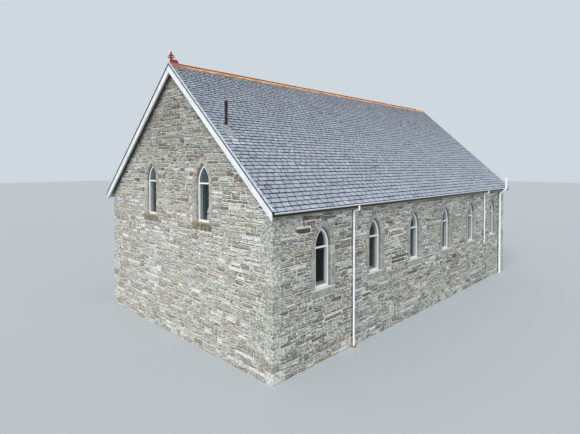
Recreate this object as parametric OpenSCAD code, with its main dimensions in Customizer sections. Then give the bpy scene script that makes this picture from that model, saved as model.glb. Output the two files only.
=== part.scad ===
// Small stone chapel: rubble walls, dressed lancet windows and a steep slated roof.
// The ridge runs along X, the front gable faces -X, and the lowest ground is at z = 0.

/* [Walls] */
// Length over the walls, along the ridge
body_l = 17450; // [14500:10:24000]
// Width over the walls, across the gables
body_w = 9740; // [8000:10:12000]
// Thickness of the rubble walls
wall_t = 540; // [440:10:700]
// Height of the floor above the lowest ground
floor_z = 850; // [500:10:1200]

/* [Roof] */
// Slope of the roof in degrees
roof_pitch = 41.9; // [38:0.1:48]
// Height of the top of the roof boards above the outer face of the side walls
eaves_z = 4800; // [4650:10:5600]
// How far the boards run out past the side walls
eaves_over = 200; // [150:5:300]
// How far the bargeboards stand out past the gable walls
verge_over = 212; // [120:2:300]
// Thickness of the roof boards
board_t = 20; // [16:1:30]
// Depth of the rafters, square to the slope
rafter_d = 150; // [100:5:200]
// Width of one rafter
rafter_w = 60; // [40:5:90]
// Greatest distance between two rafters, centre to centre
rafter_gap = 690; // [450:10:900]
// Height of the underside of the collars above the wall plates
collar_rise = 2300; // [1200:50:2900]

/* [Slates] */
// Visible length of a slate in the lowest course
slate_low = 170; // [140:5:220]
// Visible length of a slate in the highest course
slate_high = 105; // [90:5:150]
// Height of a slate's tail above the boards
slate_tail = 30; // [24:1:40]
// Height of a slate above the boards where the next one covers it
slate_head = 17; // [10:1:20]
// How far the lowest slates reach past the fascia
slate_over = 42; // [25:1:55]

/* [Ridge] */
// Length of one wing of a ridge tile, down the slope
ridge_wing = 150; // [120:5:220]
// Thickness of a ridge tile
ridge_tile_t = 16; // [12:1:25]
// Radius of the roll along the top of a ridge tile
ridge_roll_r = 26; // [20:1:40]
// Length of one ridge tile
ridge_tile_l = 450; // [300:10:600]
// Joint between two ridge tiles
ridge_joint = 4; // [2:1:8]
// Length of the crested block on the front end of the ridge
ridge_block_l = 330; // [250:10:450]
// Height of the crest on that block above the ridge tiles
crest_h = 105; // [40:5:140]
// Height of the finial above the crested block
finial_h = 283; // [200:1:400]

/* [Windows] */
// Width of a lancet between its dressed stones
lancet_w = 630; // [500:10:700]
// Height of a lancet's pointed head above its springing
lancet_rise = 550; // [460:10:650]
// Height of a side window from sill to point
side_window_h = 1772; // [1500:4:2000]
// Height of a gable window from sill to point
gable_window_h = 1801; // [1500:1:2000]
// Height of the side window sills above the lowest ground
side_sill_z = 2180; // [1900:10:2400]
// Height of the gable window sills above the lowest ground
gable_sill_z = 3997; // [3600:1:4300]
// Number of windows in each side wall, where its length has room for them
side_windows = 6; // [3:1:6]
// Distance between two side windows, centre to centre
side_spacing = 2745; // [2200:5:2800]
// Distance from the front end of the wall to the first window's centre
side_first = 2055; // [1900:5:2300]
// Distance between the two gable windows, centre to centre
gable_spacing = 3280; // [2400:10:3600]
// Width of the dressed jamb and arch stones
margin_w = 200; // [150:5:260]
// Depth of the dressed stones into the wall
margin_d = 240; // [200:5:300]
// Width of the chamfer round the outer edge of jambs and arches
chamfer = 60; // [20:5:65]
// Height of a stone sill block
sill_h = 235; // [150:5:300]
// How far a stone sill stands out from the wall
sill_nose = 30; // [15:1:50]
// Depth of the reveal in front of a window frame
reveal = 80; // [70:5:110]
// Splay of the inner reveals in degrees
splay = 45; // [20:1:50]

/* [Frames] */
// Width of a frame's face
frame_w = 55; // [45:1:75]
// Depth of a frame
frame_d = 60; // [50:1:75]
// Height of the transom bar
transom_h = 48; // [35:1:70]
// Height of the frame's bottom rail
rail_h = 75; // [60:1:100]
// Thickness of the glass
glass_t = 6; // [4:1:12]
// How far the glass lies behind the face of its frame
glass_in = 14; // [8:1:35]
// Clearance between fitted pieces
fit = 0.3; // [0.2:0.1:0.5]

/* [Door] */
// Width of the doorway between its dressed stones
door_w = 1300; // [1000:10:1500]
// Height of the doorway's springing above the floor
door_spring = 1500; // [1300:10:1600]
// Height of the doorway's pointed head above its springing
door_rise = 900; // [800:10:1000]
// Depth of the reveal in front of the door frame
door_reveal = 130; // [100:5:140]
// Width of the door frame's face
door_frame_w = 70; // [60:1:90]
// Thickness of a door leaf
leaf_t = 45; // [38:1:55]
// Gap between the two leaves
leaf_gap = 4; // [3:1:8]
// Height of the threshold stone
threshold_h = 180; // [120:5:250]

/* [Boards] */
// Depth of a bargeboard under the roof boards, square to the slope
barge_d = 170; // [160:5:240]
// Thickness of a bargeboard
barge_t = 25; // [18:1:35]
// Thickness of the soffit boards under the eaves
soffit_t = 12; // [9:1:18]
// Width and depth of the batten behind a bargeboard's lower edge
verge_batten = 45; // [30:1:70]
// Thickness of a fascia
fascia_t = 20; // [16:1:30]
// Height of a fascia
fascia_h = 150; // [130:5:220]
// How far the eaves soffit lies above the bottom of the fascia
soffit_up = 15; // [5:1:40]
// Width of the metal strip along a verge
strip_w = 72; // [40:1:100]
// Thickness of that strip
strip_t = 16; // [6:1:24]
// How far the slates and strips stand out past a bargeboard
strip_out = 12; // [6:1:25]

/* [Rainwater] */
// Outer radius of the half-round gutters
gutter_r = 58; // [50:1:70]
// Thickness of the gutter's wall
gutter_t = 4; // [3:1:6]
// Outer radius of a downpipe
pipe_r = 34; // [30:1:45]
// Thickness of a pipe's wall
pipe_t = 4; // [3:1:6]
// Clear gap between a downpipe and the wall
pipe_gap = 25; // [15:1:40]
// Distance from the first window's centre to the first downpipe
pipe_near = 1430; // [1300:5:1500]
// Distance from the last window but one to the second downpipe
pipe_far = 1490; // [1300:5:1550]
// Height of a swan neck between its two bends
neck_drop = 55; // [40:5:120]
// Height of the broken end of the second downpipe
broken_z = 1890; // [1200:10:2400]
// Height of the clay collar at the foot of a downpipe
collar_h = 45; // [30:1:90]
// Outer radius of the clay collar
collar_r = 70; // [60:1:90]
// Outer radius of the soil vent pipe
vent_r = 55; // [50:1:65]
// Distance from the rear end of the wall to the soil vent pipe
vent_x = 785; // [700:5:850]
// Height of the top of the soil vent pipe
vent_top = 5133; // [5000:1:5600]

/* [Flue] */
// Outer radius of the flue pipe
flue_r = 46; // [40:1:65]
// Length of the flue pipe above the slates
flue_h = 830; // [500:10:1200]
// Distance from the front end of the wall to the flue
flue_x = 235; // [200:5:400]
// Distance of the flue from the ridge, measured level
flue_y = 2585; // [2000:5:3400]
// Height of the collar at the top of the flue
flue_collar_h = 110; // [40:5:160]

/* [Hidden] */

$fn = 48;
arch_fn = 180;
eps = 1;
far = 30000;
half_l = body_l / 2;
half_w = body_w / 2;
ridge_z = eaves_z + half_w * tan(roof_pitch);
slope_cos = cos(roof_pitch);

// Level offset of a line on the slope that lies off, square to it, above the boards
function lift(off) = off / slope_cos;
// Height above ground of the roof at a distance s from the ridge
function roof_z(s, off) = ridge_z - s * tan(roof_pitch) + lift(off);
// Distance from the ridge at which that line reaches the height z
function roof_s(z, off) = (ridge_z + lift(off) - z) / tan(roof_pitch);

eaves_s = half_w + eaves_over;
barge_x = half_l + verge_over;
barge_back = barge_x - barge_t;
slate_x = barge_x + strip_out;
slate_s = eaves_s + slate_over;

side_spring = side_sill_z + side_window_h - lancet_rise;
gable_spring = gable_sill_z + gable_window_h - lancet_rise;
splay_d = wall_t - margin_d;
// The last place at which a window clears the soil vent pipe and the rear wall
clear_of_vent = half_l - vent_x - vent_r - fit - margin_w - lancet_w / 2;
clear_of_wall = half_l - wall_t - fit - splay_d * tan(splay) - lancet_w / 2;
last_x = min(clear_of_vent, clear_of_wall);
side_xs = [for (i = [0:side_windows - 1])
    let (x = -half_l + side_first + i * side_spacing) if (x <= last_x) x];
gable_ys = [-gable_spacing / 2, gable_spacing / 2];
rafter_low = board_t + rafter_d;

// Timber plates on the side walls, and the level at which the stone stops under them
plate_in = 150;
plate_w = 100;
plate_h = 75;
plate_top = roof_z(half_w - plate_in, -rafter_low);
head_z = plate_top - plate_h;

// Radius of one side of a pointed arch of a given half width and rise
function arch_r(a, rise) = (rise * rise + a * a) / (2 * a);

// Pointed head above y = 0, grown outwards by grow
module pointed_head(a, rise, grow) {
    r = arch_r(a, rise);
    intersection() {
        translate([r - a, 0]) circle(r + grow, $fn = arch_fn);
        translate([a - r, 0]) circle(r + grow, $fn = arch_fn);
        translate([-a - grow, 0]) square([2 * (a + grow), 2 * (rise + grow)]);
    }
}

// Lancet outline from y = 0 to its point, with the springing at y = spring
module lancet(a, rise, spring, grow) {
    translate([0, spring]) pointed_head(a, rise, grow);
    translate([-a - grow, 0]) square([2 * (a + grow), spring]);
}

// Stands an outline up in the plane of a side wall, running in from y = 0
module stand_side(depth) {
    translate([0, depth, 0]) rotate([90, 0, 0]) linear_extrude(depth) children();
}

// Inner reveal that widens away from its front, with the springing at z = spring
module splayed_void(a, rise, spring, depth) {
    r = arch_r(a, rise);
    grow = depth * tan(splay);
    linear_extrude(spring)
        polygon([[-a, 0], [a, 0], [a + grow, depth], [-a - grow, depth]]);
    intersection() {
        translate([r - a, 0, spring]) rotate([-90, 0, 0]) cylinder(depth, r, r + grow, $fn = arch_fn);
        translate([a - r, 0, spring]) rotate([-90, 0, 0]) cylinder(depth, r, r + grow, $fn = arch_fn);
        translate([-2 * r, 0, spring]) cube([4 * r, depth, 4 * r]);
    }
}

// All that one window takes out of a wall: dressed stones in front, splay behind
module window_void(a, rise, sill, spring) {
    translate([0, -eps, sill]) stand_side(margin_d + eps) lancet(a, rise, spring - sill, margin_w);
    translate([0, margin_d, sill]) splayed_void(a, rise, spring - sill, splay_d + eps);
    translate([-a - margin_w, -eps, sill - sill_h]) cube([2 * (a + margin_w), margin_d + eps, sill_h + eps]);
}

// Places its children at each right side window, with y = 0 on the wall's face
module at_side_windows() {
    for (x = side_xs) translate([x, -half_w, 0]) children();
}

// Places its children at each front gable window, with y = 0 on the wall's face
module at_gable_windows() {
    for (y = gable_ys) translate([-half_l, y, 0]) rotate([0, 0, -90]) children();
}

// Turns a front gable piece to face the rear
module to_rear() {
    rotate([0, 0, 180]) children();
}

// Mirrors a right side piece to the left side
module to_left() {
    mirror([0, 1, 0]) children();
}

// Runs an outline of (distance from the ridge, height) along the right slope
module along_right(x0, x1) {
    translate([x0, 0, 0]) mirror([0, 1, 0]) rotate([90, 0, 90]) linear_extrude(x1 - x0) children();
}

// Band parallel to the slope, with plumb ends at s0 and s1
module slope_band(s0, s1, low, high) {
    polygon([[s0, roof_z(s0, low)], [s1, roof_z(s1, low)], [s1, roof_z(s1, high)], [s0, roof_z(s0, high)]]);
}

// Rubble of the right side wall up to the springing of its windows
module right_wall_body() {
    difference() {
        translate([-half_l + wall_t, -half_w, 0]) cube([body_l - 2 * wall_t, wall_t, side_spring]);
        at_side_windows() window_void(lancet_w / 2, lancet_rise, side_sill_z, side_spring);
    }
}

// Rubble over the windows, filled up to the underside of the rafters
module right_wall_head_body() {
    plate_s = half_w - plate_in;
    difference() {
        along_right(-half_l + wall_t, half_l - wall_t)
            polygon([[half_w, side_spring], [half_w, roof_z(half_w, -rafter_low)],
                [plate_s, roof_z(plate_s, -rafter_low)], [plate_s, head_z],
                [half_w - wall_t, head_z], [half_w - wall_t, side_spring]]);
        at_side_windows() window_void(lancet_w / 2, lancet_rise, side_sill_z, side_spring);
    }
}

module right_wall() {
    color("#8f897c") right_wall_body();
}

module right_wall_head() {
    color("#8f897c") right_wall_head_body();
}

module left_wall() {
    color("#8f897c") to_left() right_wall_body();
}

module left_wall_head() {
    color("#8f897c") to_left() right_wall_head_body();
}

// Rubble of a gable wall up to the sills of its windows
module gable_wall_body() {
    difference() {
        translate([-half_l, -half_w, 0]) cube([wall_t, body_w, gable_sill_z]);
        at_gable_windows() window_void(lancet_w / 2, lancet_rise, gable_sill_z, gable_spring);
    }
}

// The pointed top of a gable wall, up to the underside of the roof boards
module gable_top_body() {
    difference() {
        translate([-half_l, 0, 0]) rotate([90, 0, 90]) linear_extrude(wall_t)
            polygon([[-half_w, gable_sill_z], [half_w, gable_sill_z], [half_w, roof_z(half_w, -board_t)],
                [0, roof_z(0, -board_t)], [-half_w, roof_z(half_w, -board_t)]]);
        at_gable_windows() window_void(lancet_w / 2, lancet_rise, gable_sill_z, gable_spring);
    }
}

// The doorway takes the same kind of hole, down to the underside of its threshold
module door_void() {
    a = door_w / 2;
    translate([-half_l, 0, 0]) rotate([0, 0, -90]) {
        translate([0, -eps, floor_z]) stand_side(margin_d + eps) lancet(a, door_rise, door_spring, margin_w);
        translate([0, margin_d, floor_z]) splayed_void(a, door_rise, door_spring, splay_d + eps);
        translate([-a - margin_w, -eps, floor_z - threshold_h])
            cube([2 * (a + margin_w), margin_d + eps, threshold_h + eps]);
    }
}

module front_gable_wall() {
    color("#a39b8b") gable_wall_body();
}

module front_gable_top() {
    color("#a39b8b") gable_top_body();
}

module rear_gable_wall() {
    color("#a39b8b") to_rear() difference() {
        gable_wall_body();
        door_void();
    }
}

module rear_gable_top() {
    color("#a39b8b") to_rear() gable_top_body();
}

// Two dressed jambs with a chamfer, from the sill up to the springing
module jamb_pair(a, sill, spring) {
    for (m = [0, 1]) mirror([m, 0, 0]) translate([0, 0, sill]) linear_extrude(spring - sill)
        polygon([[a + chamfer, 0], [a + margin_w, 0], [a + margin_w, margin_d], [a, margin_d], [a, chamfer]]);
}

// What the chamfer takes off the front of a pointed arch
module arch_chamfer(a, rise) {
    r = arch_r(a, rise);
    depth = chamfer + 2 * eps;
    front_r = r + chamfer + eps;
    translate([0, -eps, 0]) intersection() {
        translate([r - a, 0, 0]) rotate([-90, 0, 0]) cylinder(depth, front_r, r - eps, $fn = arch_fn);
        translate([a - r, 0, 0]) rotate([-90, 0, 0]) cylinder(depth, front_r, r - eps, $fn = arch_fn);
        translate([-2 * r, 0, -eps]) cube([4 * r, depth, 4 * r]);
    }
}

// Dressed and chamfered arch stones over an opening
module arch_ring(a, rise, spring) {
    translate([0, 0, spring]) difference() {
        stand_side(margin_d) difference() {
            pointed_head(a, rise, margin_w);
            translate([0, -eps]) lancet(a, rise, eps, 0);
        }
        arch_chamfer(a, rise);
    }
}

// Stone sill with a nose that sheds water, and a flat seat for jambs and frame
sill_fall = 12;

module sill_block(a, sill) {
    translate([-a - margin_w, 0, sill]) rotate([90, 0, 90]) linear_extrude(2 * (a + margin_w))
        polygon([[margin_d, 0], [0, 0], [-sill_nose, -sill_fall], [-sill_nose, -sill_h + sill_fall],
            [-sill_nose + sill_fall, -sill_h], [0, -sill_h], [margin_d, -sill_h]]);
}

module side_jambs() {
    color("#a7a69c") for (m = [0, 1]) mirror([0, m, 0])
        at_side_windows() jamb_pair(lancet_w / 2, side_sill_z, side_spring);
}

module side_arches() {
    color("#a7a69c") for (m = [0, 1]) mirror([0, m, 0])
        at_side_windows() arch_ring(lancet_w / 2, lancet_rise, side_spring);
}

module side_sills() {
    color("#b0ada0") for (m = [0, 1]) mirror([0, m, 0])
        at_side_windows() sill_block(lancet_w / 2, side_sill_z);
}

module gable_jambs() {
    color("#a7a69c") for (turn = [0, 180]) rotate([0, 0, turn])
        at_gable_windows() jamb_pair(lancet_w / 2, gable_sill_z, gable_spring);
    color("#a7a69c") to_rear() translate([-half_l, 0, 0]) rotate([0, 0, -90])
        jamb_pair(door_w / 2, floor_z, floor_z + door_spring);
}

module gable_arches() {
    color("#a7a69c") for (turn = [0, 180]) rotate([0, 0, turn])
        at_gable_windows() arch_ring(lancet_w / 2, lancet_rise, gable_spring);
    color("#a7a69c") to_rear() translate([-half_l, 0, 0]) rotate([0, 0, -90])
        arch_ring(door_w / 2, door_rise, floor_z + door_spring);
}

module gable_sills() {
    color("#b0ada0") for (turn = [0, 180]) rotate([0, 0, turn])
        at_gable_windows() sill_block(lancet_w / 2, gable_sill_z);
}

// Outline of the two lights of a frame, above and below the transom
module lights(a, rise, spring, edge, rail, bar) {
    translate([0, spring]) intersection() {
        pointed_head(a, rise, -edge);
        translate([-a, 0]) square([2 * a, 2 * rise]);
    }
    translate([-a + edge, rail]) square([2 * (a - edge), spring - bar - rail]);
}

// Window frame with a transom at the springing
module window_frame(window_h) {
    spring = window_h - lancet_rise;
    stand_side(frame_d) difference() {
        lancet(lancet_w / 2, lancet_rise, spring, -fit);
        lights(lancet_w / 2, lancet_rise, spring, frame_w, rail_h, transom_h);
    }
}

// Two panes that fill the lights of a frame
module window_panes(window_h) {
    spring = window_h - lancet_rise;
    translate([0, glass_in, 0]) stand_side(glass_t)
        lights_fit(lancet_w / 2, lancet_rise, spring);
}

// The lights, smaller by the clearance all round
module lights_fit(a, rise, spring) {
    translate([0, spring]) intersection() {
        pointed_head(a, rise, -frame_w - fit);
        translate([-a, fit]) square([2 * a, 2 * rise]);
    }
    translate([-a + frame_w + fit, rail_h + fit])
        square([2 * (a - frame_w - fit), spring - transom_h - rail_h - 2 * fit]);
}

module side_frames() {
    color("#f4f4f1") for (m = [0, 1]) mirror([0, m, 0])
        at_side_windows() translate([0, reveal, side_sill_z]) window_frame(side_window_h);
}

module gable_frames() {
    color("#f4f4f1") for (turn = [0, 180]) rotate([0, 0, turn])
        at_gable_windows() translate([0, reveal, gable_sill_z]) window_frame(gable_window_h);
}

module side_glass() {
    color("#7f9690") for (m = [0, 1]) mirror([0, m, 0])
        at_side_windows() translate([0, reveal, side_sill_z]) window_panes(side_window_h);
}

module gable_glass() {
    color("#7f9690") for (turn = [0, 180]) rotate([0, 0, turn])
        at_gable_windows() translate([0, reveal, gable_sill_z]) window_panes(gable_window_h);
}

// Places a piece in the rear doorway, with y = 0 on the wall's face
module at_door() {
    to_rear() translate([-half_l, 0, floor_z]) rotate([0, 0, -90]) children();
}

module door_frame() {
    a = door_w / 2;
    color("#e9e7e0") at_door() translate([0, door_reveal, 0]) stand_side(margin_d - door_reveal)
        difference() {
            lancet(a, door_rise, door_spring, -fit);
            translate([0, -eps]) lancet(a, door_rise, door_spring + eps, -door_frame_w);
        }
}

// How far the door leaves stand back in their frame
leaf_back = 20;

module door_leaves() {
    a = door_w / 2;
    color("#5b4634") at_door() translate([0, door_reveal + leaf_back, 0]) difference() {
        stand_side(leaf_t) intersection() {
            lancet(a, door_rise, door_spring, -door_frame_w - fit);
            translate([-a, fit]) square([2 * a, 2 * (door_spring + door_rise)]);
        }
        translate([-leaf_gap / 2, -eps, -eps]) cube([leaf_gap, leaf_t + 2 * eps, far]);
    }
}

module door_threshold() {
    a = door_w / 2;
    color("#a8a599") at_door() translate([-a - margin_w, 0, -threshold_h])
        cube([2 * (a + margin_w), margin_d, threshold_h]);
}

// The room between the walls, and the timbers and dwarf walls of its floor
room_l = body_l - 2 * wall_t;
room_w = body_w - 2 * wall_t;
floor_board_t = 25;
joist_d = 175;
joist_w = 60;
joist_gap = 600;
joist_top = floor_z - floor_board_t;
sleeper_t = 225;
sleeper_gap = 2150;

// Spreads copies evenly between two ends, no further apart than step
function spread(lo, hi, step) = let (n = ceil((hi - lo) / step)) [for (i = [0:n]) lo + i * (hi - lo) / n];

module floor_boards() {
    color("#8a6f50") translate([-room_l / 2, -room_w / 2, joist_top]) cube([room_l, room_w, floor_board_t]);
}

// Joists across the room, the end ones a joist's width from the gable walls
module floor_joists() {
    ends = room_l / 2 - 1.5 * joist_w;
    color("#8a6f50") for (x = spread(-ends, ends, joist_gap))
        translate([x - joist_w / 2, -room_w / 2, joist_top - joist_d]) cube([joist_w, room_w, joist_d]);
}

// Dwarf walls under the floor, with the middle one on the centre line
module sleeper_walls() {
    color("#8f897c") for (i = [-1:1])
        translate([-room_l / 2, i * sleeper_gap - sleeper_t / 2, 0])
            cube([room_l, sleeper_t, joist_top - joist_d]);
}

module wall_plates() {
    color("#a58660") for (m = [0, 1]) mirror([0, m, 0])
        translate([-room_l / 2, -half_w + plate_in, head_z]) cube([room_l, plate_w, plate_h]);
}

// Fascias and the level soffit behind them, which the rafters' feet are cut to
fascia_low = roof_z(eaves_s, -board_t) - fascia_h;
eaves_soffit_z = fascia_low + soffit_up;

ridge_board_w = 40;
ridge_board_d = 230;
rafter_xs = spread(-room_l / 2 + rafter_w / 2, room_l / 2 - rafter_w / 2, rafter_gap);

// Rafters notched over the plates and cut plumb against the ridge board
module rafters() {
    color("#a58660") for (m = [0, 1], x = rafter_xs) mirror([0, m, 0]) difference() {
        along_right(x - rafter_w / 2, x + rafter_w / 2)
            slope_band(ridge_board_w / 2, eaves_s - fascia_t, -rafter_low, -board_t);
        translate([x - rafter_w, -half_w + plate_in, head_z]) cube([2 * rafter_w, plate_w, plate_h]);
        translate([x - rafter_w, -eaves_s, 0]) cube([2 * rafter_w, eaves_over, eaves_soffit_z + soffit_t]);
    }
}

collar_t = 45;
collar_d = 150;
collar_back = 10;

// Collars bolted to the sides of the rafters, their ends just clear of the boards
module collars() {
    z = plate_top + collar_rise;
    s0 = roof_s(z, -board_t - collar_back);
    s1 = roof_s(z + collar_d, -board_t - collar_back);
    color("#a58660") for (x = rafter_xs) if (x + rafter_w / 2 + collar_t < room_l / 2)
        translate([x + rafter_w / 2, 0, z]) rotate([90, 0, 90]) linear_extrude(collar_t)
            polygon([[-s0, 0], [s0, 0], [s1, collar_d], [-s1, collar_d]]);
}

module ridge_board() {
    half = ridge_board_w / 2;
    top = roof_z(half, -board_t);
    color("#a58660") translate([-room_l / 2, -half, top - ridge_board_d])
        cube([room_l, ridge_board_w, ridge_board_d]);
}

module roof_boards() {
    color("#9a7c58") for (m = [0, 1]) mirror([0, m, 0])
        along_right(-barge_x, barge_x) slope_band(fit, eaves_s, -board_t, 0);
}

// Distances down the slope of the slate tails, longest course at the eaves
slate_mean = (slate_low + slate_high) / 2;
slope_len = slate_s / slope_cos;
slate_rows = round(slope_len / slate_mean);
slate_step = (slate_low - slate_high) / (slate_rows - 1);
slate_scale = slope_len / (slate_rows * slate_mean);
function tail_at(i) = slate_scale * (i * slate_high + slate_step * i * (i - 1) / 2);

// Outline of the lapped courses, in distance from the ridge and height
module slate_outline() {
    steps = [for (i = [0:slate_rows - 1])
        let (s0 = max(tail_at(i) * slope_cos, fit), s1 = tail_at(i + 1) * slope_cos)
        each [[s0, roof_z(s0, slate_head)], [s1, roof_z(s1, slate_tail)]]];
    polygon(concat([[fit, roof_z(fit, 0)]], steps, [[slate_s, roof_z(slate_s, 0)]]));
}

module slates() {
    color("#6f7480") for (m = [0, 1]) mirror([0, m, 0]) along_right(-slate_x, slate_x) slate_outline();
}

// Half outline of a ridge tile on one slope
module ridge_wing_outline() {
    end = ridge_wing * slope_cos;
    slope_band(0, end, slate_tail, slate_tail + ridge_tile_t);
}

// Outline of a whole ridge tile across the roof
module ridge_tile_outline(roll) {
    ridge_wing_outline();
    mirror([1, 0]) ridge_wing_outline();
    r = ridge_roll_r;
    if (roll) translate([0, roof_z(0, slate_tail + ridge_tile_t)]) difference() {
        circle(r);
        translate([-r, -r - lift(ridge_tile_t)]) square([2 * r, r]);
    }
}

module run_x(x0, x1) {
    translate([x0, 0, 0]) rotate([90, 0, 90]) linear_extrude(x1 - x0) children();
}

// The ridge runs between the strips along the verges, and its crested block comes first
ridge_end = slate_x - strip_w - fit;
ridge_from = -ridge_end + ridge_block_l;
ridge_plain = ridge_end - 2 * ridge_tile_l;

// Ridge tiles: a roll top along the roof and two plain ones at the rear end
module ridge_tiles() {
    n = round((ridge_plain - ridge_from) / ridge_tile_l);
    pitch = (ridge_plain - ridge_from) / n;
    half = ridge_joint / 2;
    color("#b5643a") for (i = [0:n - 1])
        run_x(ridge_from + i * pitch + half, ridge_from + (i + 1) * pitch - half) ridge_tile_outline(true);
    color("#c9652f") for (x = [ridge_plain, ridge_plain + ridge_tile_l])
        run_x(x + half, x + ridge_tile_l - half) ridge_tile_outline(false);
}

ridge_top = roof_z(0, slate_tail + ridge_tile_t) + ridge_roll_r;
crest_w = 50;
crest_tail = 70;

// Crested end tile, which carries the finial; the crest slopes down to the tiles behind it
module ridge_block() {
    len = ridge_block_l - ridge_joint / 2;
    color("#7d3227") {
        run_x(-ridge_end, -ridge_end + len) ridge_tile_outline(true);
        translate([-ridge_end, crest_w / 2, ridge_top - ridge_roll_r]) rotate([90, 0, 0])
            linear_extrude(crest_w) polygon([[0, 0], [len, 0], [len, ridge_roll_r],
                [len - crest_tail, ridge_roll_r + crest_h], [0, ridge_roll_r + crest_h]]);
    }
}

// Finial: its place on the crest, and the sizes of its stem, fronds and bud
finial_in = 45;
stem_r = 22;
bud_r = 34;
frond_t = 40;
frond_w = 30;
low_frond = 116;
high_frond = 88;
low_curl_r = 25;
high_curl_r = 20;

// Frond that grows outwards to a reach and upwards by a rise, and ends in a round curl
module frond(reach, rise, curl_r) {
    curl = norm([reach, rise]) - curl_r;
    rotate([90, -atan2(rise, reach), 0]) translate([0, 0, -frond_t / 2]) linear_extrude(frond_t) {
        translate([0, -frond_w / 2]) square([curl, frond_w]);
        translate([curl, 0]) circle(curl_r);
    }
}

// A round stem with two rings of curled fronds and a pointed bud
module finial() {
    h = finial_h;
    color("#9c3c2c") translate([-ridge_end + finial_in, 0, ridge_top + crest_h]) {
        rotate_extrude() polygon([[0, 0], [crest_w / 2, 0], [crest_w / 2, 0.04 * h], [stem_r, 0.08 * h],
            [stem_r, 0.50 * h], [0.9 * bud_r, 0.57 * h], [bud_r, 0.66 * h], [0.85 * bud_r, 0.76 * h],
            [0.5 * bud_r, 0.89 * h], [0, h]]);
        for (a = [45:90:315]) rotate([0, 0, a]) {
            translate([0, 0, 0.12 * h]) frond(low_frond, 0.14 * h, low_curl_r);
            translate([0, 0, 0.36 * h]) frond(high_frond, 0.14 * h, high_curl_r);
        }
    }
}

// Bargeboards fixed under the ends of the roof boards
module bargeboards() {
    color("#f2f3f3") for (m = [0, 1], turn = [0, 180]) rotate([0, 0, turn]) mirror([0, m, 0])
        along_right(-barge_x, -barge_back) slope_band(fit, eaves_s, -board_t - barge_d, -board_t);
}

module verge_strips() {
    color("#9aa6b2") for (m = [0, 1], turn = [0, 180]) rotate([0, 0, turn]) mirror([0, m, 0])
        along_right(-slate_x, -slate_x + strip_w) slope_band(fit, slate_s, slate_tail, slate_tail + strip_t);
}

// Battens behind the bargeboards, level with their lower edges
module verge_battens() {
    low = -board_t - barge_d;
    color("#cfc9b4") for (m = [0, 1], turn = [0, 180]) rotate([0, 0, turn]) mirror([0, m, 0])
        along_right(-barge_back, verge_batten - barge_back)
            slope_band(fit, eaves_s - fascia_t, low, low + verge_batten);
}

module fascias() {
    s0 = eaves_s - fascia_t;
    color("#eef0f0") for (m = [0, 1]) mirror([0, m, 0]) along_right(-barge_back, barge_back)
        polygon([[s0, fascia_low], [eaves_s, fascia_low], [eaves_s, roof_z(eaves_s, -board_t)],
            [s0, roof_z(s0, -board_t)]]);
}

// Level soffits under the eaves, with box ends that stand on them at the gable walls
module eaves_soffits() {
    s1 = eaves_s - fascia_t;
    z1 = eaves_soffit_z + soffit_t;
    z2 = z1 + fit;
    color("#d8d3c2") for (m = [0, 1]) mirror([0, m, 0]) {
        along_right(-half_l, half_l)
            polygon([[half_w, eaves_soffit_z], [s1, eaves_soffit_z], [s1, z1], [half_w, z1]]);
        for (x = [-half_l, half_l - soffit_t]) along_right(x, x + soffit_t)
            polygon([[half_w, z2], [s1, z2], [s1, roof_z(s1, -board_t)], [half_w, roof_z(half_w, -board_t)]]);
    }
}

// The gutter's rim lies a little below the edge of the boards
gutter_fall = 30;
gutter_s = eaves_s + gutter_r + fit;
gutter_z = roof_z(eaves_s, 0) - gutter_fall;

// Half-round gutters with closed ends
module gutters() {
    color("#f0f2f4") for (m = [0, 1]) mirror([0, m, 0]) difference() {
        along_right(-barge_x, barge_x) translate([gutter_s, gutter_z]) difference() {
            circle(gutter_r);
            translate([-2 * gutter_r, 0]) square([4 * gutter_r, 2 * gutter_r]);
        }
        along_right(-barge_x + gutter_t, barge_x - gutter_t) translate([gutter_s, gutter_z])
            circle(gutter_r - gutter_t);
    }
}

// Places of the downpipes, and the upper bend of their swan necks below the fascia
near_x = side_xs[0] + pipe_near;
far_x = side_xs[len(side_xs) - 2] + pipe_far;
pipe_s = half_w + pipe_gap + pipe_r;
neck_clear = 40;
neck_z = fascia_low - neck_clear;
bend_bulge = 4;

// Straight round bar between two points
module bar(p, q, r) {
    v = q - p;
    len = norm(v);
    translate(p) rotate([0, acos(v[2] / len), atan2(v[1], v[0])]) cylinder(len, r, r);
}

// Bent pipe along a list of points on the right side, as (x, distance from the ridge, z)
module bent_pipe(pts, r) {
    q = [for (p = pts) [p[0], -p[1], p[2]]];
    for (i = [0:len(q) - 2]) bar(q[i], q[i + 1], r);
    for (i = [1:len(q) - 2]) translate(q[i]) sphere(r + bend_bulge);
}

// How far the open end of a pipe is bored out
bore_d = 400;

// Downpipe from the gutter's outlet to a foot at z = low
module downpipe(x, low) {
    difference() {
        bent_pipe([[x, gutter_s, gutter_z - gutter_r + gutter_t], [x, gutter_s, neck_z],
            [x, pipe_s, neck_z - neck_drop], [x, pipe_s, low]], pipe_r);
        along_right(x - 2 * pipe_r, x + 2 * pipe_r) translate([gutter_s, gutter_z]) circle(gutter_r + fit);
        translate([x, -pipe_s, low - eps]) cylinder(bore_d + eps, pipe_r - pipe_t, pipe_r - pipe_t);
    }
}

// Three whole downpipes, and one on the right that stops short where its foot is missing
module downpipes() {
    color("#eef1f3") {
        downpipe(near_x, collar_h);
        downpipe(far_x, broken_z);
        to_left() downpipe(near_x, collar_h);
        to_left() downpipe(far_x, collar_h);
    }
}

clip_t = 4;
clip_h = 30;
clip_stem = 24;

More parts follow.
